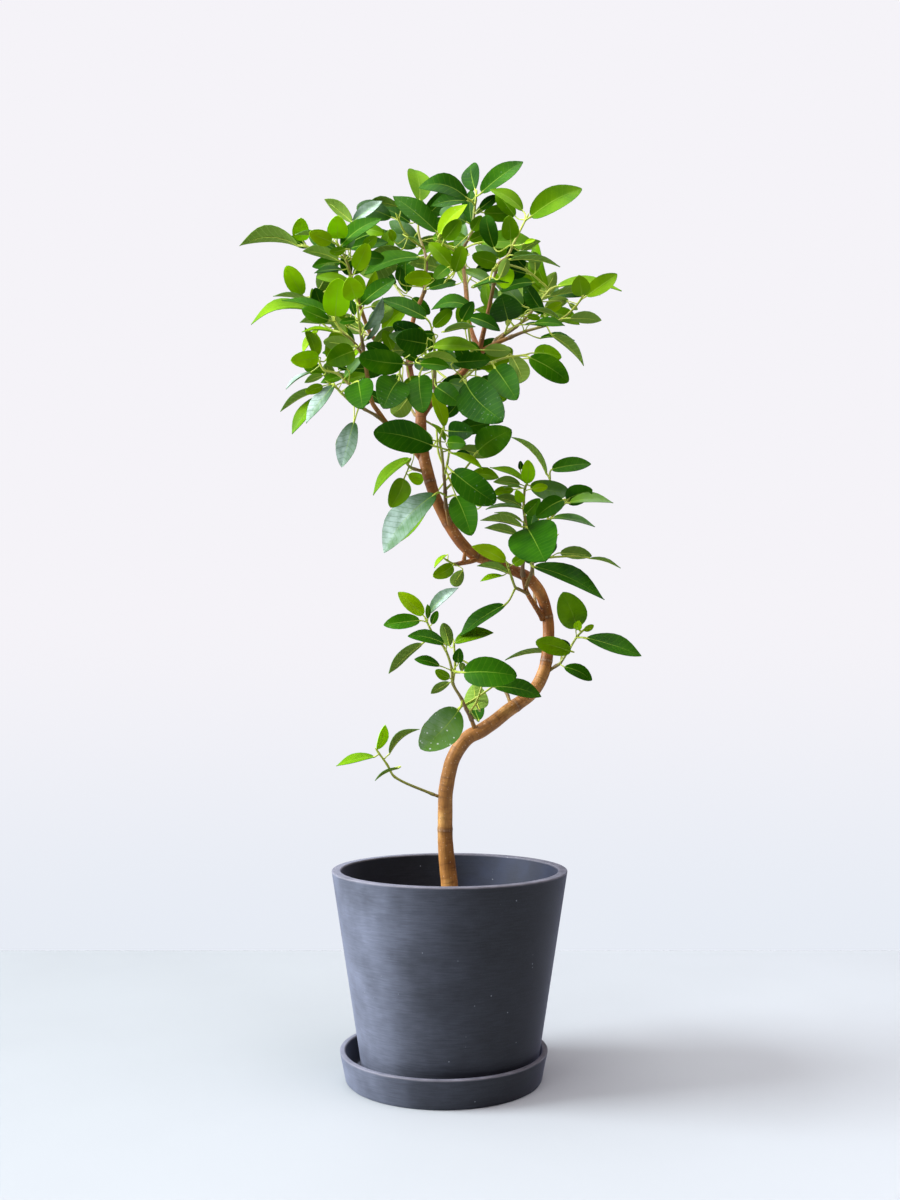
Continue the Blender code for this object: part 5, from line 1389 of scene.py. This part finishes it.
def spinProfile(bm, profile, steps):
    # profile is a closed loop of (radius, height) in mm, or an open line between two points on the axis
    verts = [bm.verts.new((r * mm, 0, z * mm)) for r, z in profile]
    edges = [bm.edges.new(pair) for pair in zip(verts, verts[1:])]
    if profile[0][0] > 0:
        edges.append(bm.edges.new((verts[-1], verts[0])))
    bmesh.ops.spin(bm, geom=verts + edges, axis=(0, 0, 1), cent=(0, 0, 0), angle=2 * math.pi,
                   steps=steps, use_merge=True)
    bmesh.ops.remove_doubles(bm, verts=bm.verts, dist=0.00001)


def splitLong(profile, longest):
    # extra points on long straight runs, so that the wall has even faces
    points = []
    for a, b in zip(profile, profile[1:] + profile[:1]):
        points.append(a)
        span = math.dist(a, b)
        if a[0] > 0 and b[0] > 0:
            for k in range(1, int(span / longest) + 1):
                t = k / (int(span / longest) + 1)
                points.append((a[0] + (b[0] - a[0]) * t, a[1] + (b[1] - a[1]) * t))
    return points


def makeStoneMaterial():
    # stone-filled resin, cast and brushed: matt charcoal with a cold sheen, faint marks round the
    # pot, small pale grains of filler and worn, lighter edges
    material, node, shader = newMaterial("stoneResin")
    place = node("TexCoord").outputs["Object"]
    wear = node("Attribute", attribute_name="wear").outputs["Fac"]
    inside = node("Attribute", attribute_name="inside").outputs["Fac"]
    cloud = node("TexNoise", {"Scale": 1 / (38 * mm), "Detail": 3.0, "Roughness": 0.55, "Vector": place})
    # brush marks 1.2 mm apart and grit of 1.1 mm, both coarser than life so that they show
    brushPlace = node("Mapping", {"Scale": (1 / (15 * mm), 1 / (15 * mm), 1 / (1.2 * mm)), "Vector": place})
    brush = node("TexNoise", {"Scale": 1.0, "Detail": 4.0, "Roughness": 0.6, "Vector": brushPlace})
    grit = node("TexNoise", {"Scale": 1 / (1.1 * mm), "Detail": 2.0, "Vector": place})
    charcoal = node("Mix", {0: cloud, 6: "#191b20", 7: "#24272e"}, data_type="RGBA")
    brushShade = node("MapRange", [brush, 0.3, 0.7, 0.7, 1.36])
    brushed = node("Mix", {0: 1.0, 6: charcoal, 7: brushShade}, data_type="RGBA", blend_type="MULTIPLY")
    gritShade = node("MapRange", [grit, 0.3, 0.7, 0.84, 1.16])
    gritty = node("Mix", {0: 1.0, 6: brushed, 7: gritShade}, data_type="RGBA", blend_type="MULTIPLY")

    # blue-grey dust settled into the brushing, with a painted sheen: it lies mostly on the left, the side
    # that the window lights
    split = node("SeparateXYZ", [place])
    sheenSide = node("MapRange", [split.outputs["X"], -0.072, 0.065, 0.97, 0.0])
    sheenSide = node("Math", [sheenSide, 2.0], operation="POWER")
    dustPatch = node("MapRange", [cloud, 0.32, 0.68, 0.55, 1.1])
    dustGrain = node("MapRange", [brush, 0.3, 0.7, 0.7, 1.0])
    dustAndSheenShare = node("Math", [sheenSide, dustPatch], operation="MULTIPLY")
    dustAndSheenShare = node("Math", [dustAndSheenShare, dustGrain], operation="MULTIPLY", use_clamp=True)

    # bluish lime bloom on the inner wall, laid only on the right-hand side that the window lights: partly a
    # stain and partly painted light, leaving the shaded left-hand side dark as painted shade
    limePatch = node("MapRange", [cloud, 0.35, 0.65, 0.35, 0.85])
    limeLitSide = node("MapRange", [split.outputs["X"], -0.03, 0.06, 0.1, 1.0], interpolation_type="SMOOTHSTEP")
    limeAndLightShare = node("Math", [inside, limePatch], operation="MULTIPLY")
    limeAndLightShare = node("Math", [limeAndLightShare, limeLitSide], operation="MULTIPLY")

    # pale grains about a millimetre across, one in some 40 mm
    grain = node("TexVoronoi", {"Scale": 1 / (7 * mm), "Vector": place})
    grainMask = node("MapRange", [grain, 0.05, 0.1, 0.6, 0.0])
    grainPick = node("SeparateColor", [grain.outputs["Color"]])
    grainFew = node("Math", [grainPick, 0.84], operation="GREATER_THAN")
    grainShare = node("Math", [grainMask, grainFew], operation="MULTIPLY")
    wearPatch = node("MapRange", [brush, 0.3, 0.7, 0.2, 0.65])
    wearShare = node("Math", [wear, wearPatch], operation="MULTIPLY")
    colour = gritty
    # the blue-grey tint is dust in the brushing together with a painted sheen on the window side
    for share, tint in ((dustAndSheenShare, "#757b8e"), (inside, gritty), (limeAndLightShare, "#2d3650"),
                        (grainShare, "#9aa1ac"), (wearShare, "#85828c")):
        colour = node("Mix", {0: share, 6: colour, 7: tint}, data_type="RGBA")
    rough = node("MapRange", {0: brush, 3: 0.5, 4: 0.68})
    shader.inputs["IOR"].default_value = 1.52
    shader.inputs["Specular IOR Level"].default_value = 0.28
    shader.inputs["Sheen Weight"].default_value = 0.22
    shader.inputs["Sheen Roughness"].default_value = 0.4
    shader.inputs["Sheen Tint"].default_value = linear("#a9b4dc")
    height = node("Math", [brush, grit], operation="ADD")
    bump = node("Bump", {"Strength": 0.18, "Distance": 0.3 * mm, "Height": height})
    setInputs(shader, {"Base Color": colour, "Roughness": rough, "Normal": bump})
    return material


def markStone(bm, corners, innerRadius, floorHeight):
    # wear follows the rim's edges, and the inner wall is marked for its bloom
    s = stoneSettings
    wear = bm.verts.layers.float.new("wear")
    inside = bm.verts.layers.float.new("inside")
    for v in bm.verts:
        radius, height = math.hypot(v.co.x, v.co.y) / mm, v.co.z / mm
        away = min(math.dist((radius, height), corner) for corner in corners)
        onTop = s["onTop"] if height > corners[0][1] - 0.1 else 0
        v[wear] = clamped((s["reach"] - away) / (s["reach"] - s["core"]), onTop)
        v[inside] = 1.0 if height > floorHeight and radius < innerRadius(height) + 1 else 0.0


def finishTurned(bm, name, material, cadNode, shift=0.0):
    bmesh.ops.translate(bm, verts=bm.verts, vec=(shift * mm, 0, 0))
    for face in bm.faces:
        face.smooth = True
    piece = keepMesh(bm, name, [material])
    piece.data.set_sharp_from_angle(angle=math.radians(38))
    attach(piece, "root")
    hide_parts(cadNode)
    return piece


def potInner(height):
    s = potSettings
    share = (height - potFoot) / (s["top"] - potFoot)
    return s["footRadius"] + (s["rimRadius"] - s["footRadius"]) * share - s["wall"]


def makePot(material):
    s = potSettings
    foot = potFoot
    floor = foot + s["floor"]
    rimOut, rimIn = (s["rimRadius"], s["top"]), (s["rimRadius"] - s["wall"], s["top"])
    footOut = (s["footRadius"], foot)
    inside = (potInner(floor), floor)
    recess = s["footRadius"] - 2 * s["wall"]
    profile = rounded(rimOut, rimIn, footOut, s["edge"], 4, stoneSettings["reach"])
    profile += rounded(footOut, rimOut, (0, foot), s["footEdge"], 6)
    profile += [(recess, foot), (recess - s["recess"], foot + s["recess"])]
    profile += [(s["drain"], foot + s["recess"]), (s["drain"], floor)]
    profile += rounded(inside, (0, floor), rimIn, s["footEdge"], 5)
    profile += rounded(rimIn, inside, rimOut, s["edge"], 4, stoneSettings["reach"])
    bm = bmesh.new()
    spinProfile(bm, splitLong(profile, 14), s["steps"])
    markStone(bm, [rimOut, rimIn], potInner, floor)
    finishTurned(bm, "potBody", material, "pot")


def makeSaucer(material):
    s = saucerSettings
    rimOut, rimIn = (s["rimRadius"], s["height"]), (s["rimRadius"] - s["wall"], s["height"])
    baseOut, inside = (s["baseRadius"], 0), (s["baseRadius"] - s["wall"] + 1, s["floor"])
    profile = [(0, s["floor"])]
    profile += rounded(inside, (0, s["floor"]), rimIn, 2 * s["edge"], 4)
    profile += rounded(rimIn, inside, rimOut, s["edge"], 4, stoneSettings["reach"])
    profile += rounded(rimOut, rimIn, baseOut, s["edge"], 4, stoneSettings["reach"])
    profile += rounded(baseOut, rimOut, (0, 0), s["edge"], 4)
    profile.append((0, 0))
    bm = bmesh.new()
    spinProfile(bm, profile, s["steps"])
    markStone(bm, [rimOut, rimIn], lambda height: rimIn[0], s["floor"])
    finishTurned(bm, "saucerDish", material, "saucer", s["x"])


def makeSoilMaterial():
    # moist potting mix: dark, crumbly and matt, with fibres of bark and a few pale grains
    material, node, shader = newMaterial("pottingMix")
    place = node("TexCoord").outputs["Object"]
    crumb = node("TexNoise", {"Scale": 1 / (4 * mm), "Detail": 6.0, "Roughness": 0.7, "Vector": place})
    tint = node("ValToRGB", [crumb])
    setStops(tint, (0.3, "#1c130d"), (0.75, "#5b4330"))
    grit = node("TexVoronoi", {"Scale": 1 / (6 * mm), "Vector": place})
    gritMask = node("MapRange", [grit, 0.1, 0.18, 1.0, 0.0])
    gritPick = node("SeparateColor", [grit.outputs["Color"]])
    gritFew = node("Math", [gritPick, 0.75], operation="GREATER_THAN")
    gritShare = node("Math", [gritMask, gritFew], operation="MULTIPLY")
    mixed = node("Mix", {0: gritShare, 6: tint, 7: "#b7ad9c"}, data_type="RGBA")
    shader.inputs["Roughness"].default_value = 0.95
    bump = node("Bump", {"Strength": 0.8, "Distance": 1.2 * mm, "Height": crumb})
    setInputs(shader, {"Base Color": mixed, "Normal": bump})
    return material


def makeSoil():
    s = soilSettings
    gap = treeSettings["gap"]
    floor = potFoot + potSettings["floor"]
    edgeTop = s["top"] - s["edgeDrop"]
    edgeRadius = potInner(edgeTop) - gap
    hole = footRadius + 2 * gap
    footEdge = potSettings["footEdge"]
    profile = [(0, floor + gap), (potInner(floor) - footEdge - gap, floor + gap),
               (potInner(floor + footEdge) - gap, floor + footEdge), (edgeRadius, edgeTop)]
    for k in range(1, s["ringsOnTop"] + 1):
        share = k / s["ringsOnTop"]
        radius = edgeRadius + (hole - edgeRadius) * share
        profile.append((radius, s["top"] - s["edgeDrop"] * (radius / edgeRadius) ** 3))
    profile += [(hole, trunkFoot - gap), (0, trunkFoot - gap)]
    bm = bmesh.new()
    spinProfile(bm, profile, s["steps"])
    for v in bm.verts:
        radius = math.hypot(v.co.x, v.co.y) / mm
        if v.co.z / mm > edgeTop + 0.1 and hole + 3 < radius < edgeRadius - 2:
            v.co.z += mm * (s["lump"] * noise.noise(v.co / mm / s["lumpSize"])
                            + s["grain"] * noise.noise(v.co / mm / s["grainSize"]))
    draw = random.Random(s["seed"])
    for _ in range(s["crumbs"]):
        angle, radius = draw.uniform(0, 2 * math.pi), edgeRadius * math.sqrt(draw.uniform(0.03, 0.86))
        size = draw.uniform(*s["crumbSize"])
        top = s["top"] - s["edgeDrop"] * (radius / edgeRadius) ** 3
        shape = Matrix.Translation(
            (radius * math.cos(angle) * mm, radius * math.sin(angle) * mm, (top + 0.2 * size) * mm))
        shape @= Matrix.Rotation(draw.uniform(0, 6.28), 4, "Z")
        shape @= Matrix.Rotation(draw.uniform(-0.5, 0.5), 4, "X")
        shape @= Matrix.Diagonal((draw.uniform(0.8, 1.6), draw.uniform(0.6, 1.0), draw.uniform(0.35, 0.7), 1))
        bmesh.ops.create_icosphere(bm, subdivisions=1, radius=size * mm, matrix=shape)
    finishTurned(bm, "pottingSoil", makeSoilMaterial(), "soil")


stoneResin = makeStoneMaterial()
makePot(stoneResin)
makeSaucer(stoneResin)
makeSoil()
print("pot, saucer and soil are made")
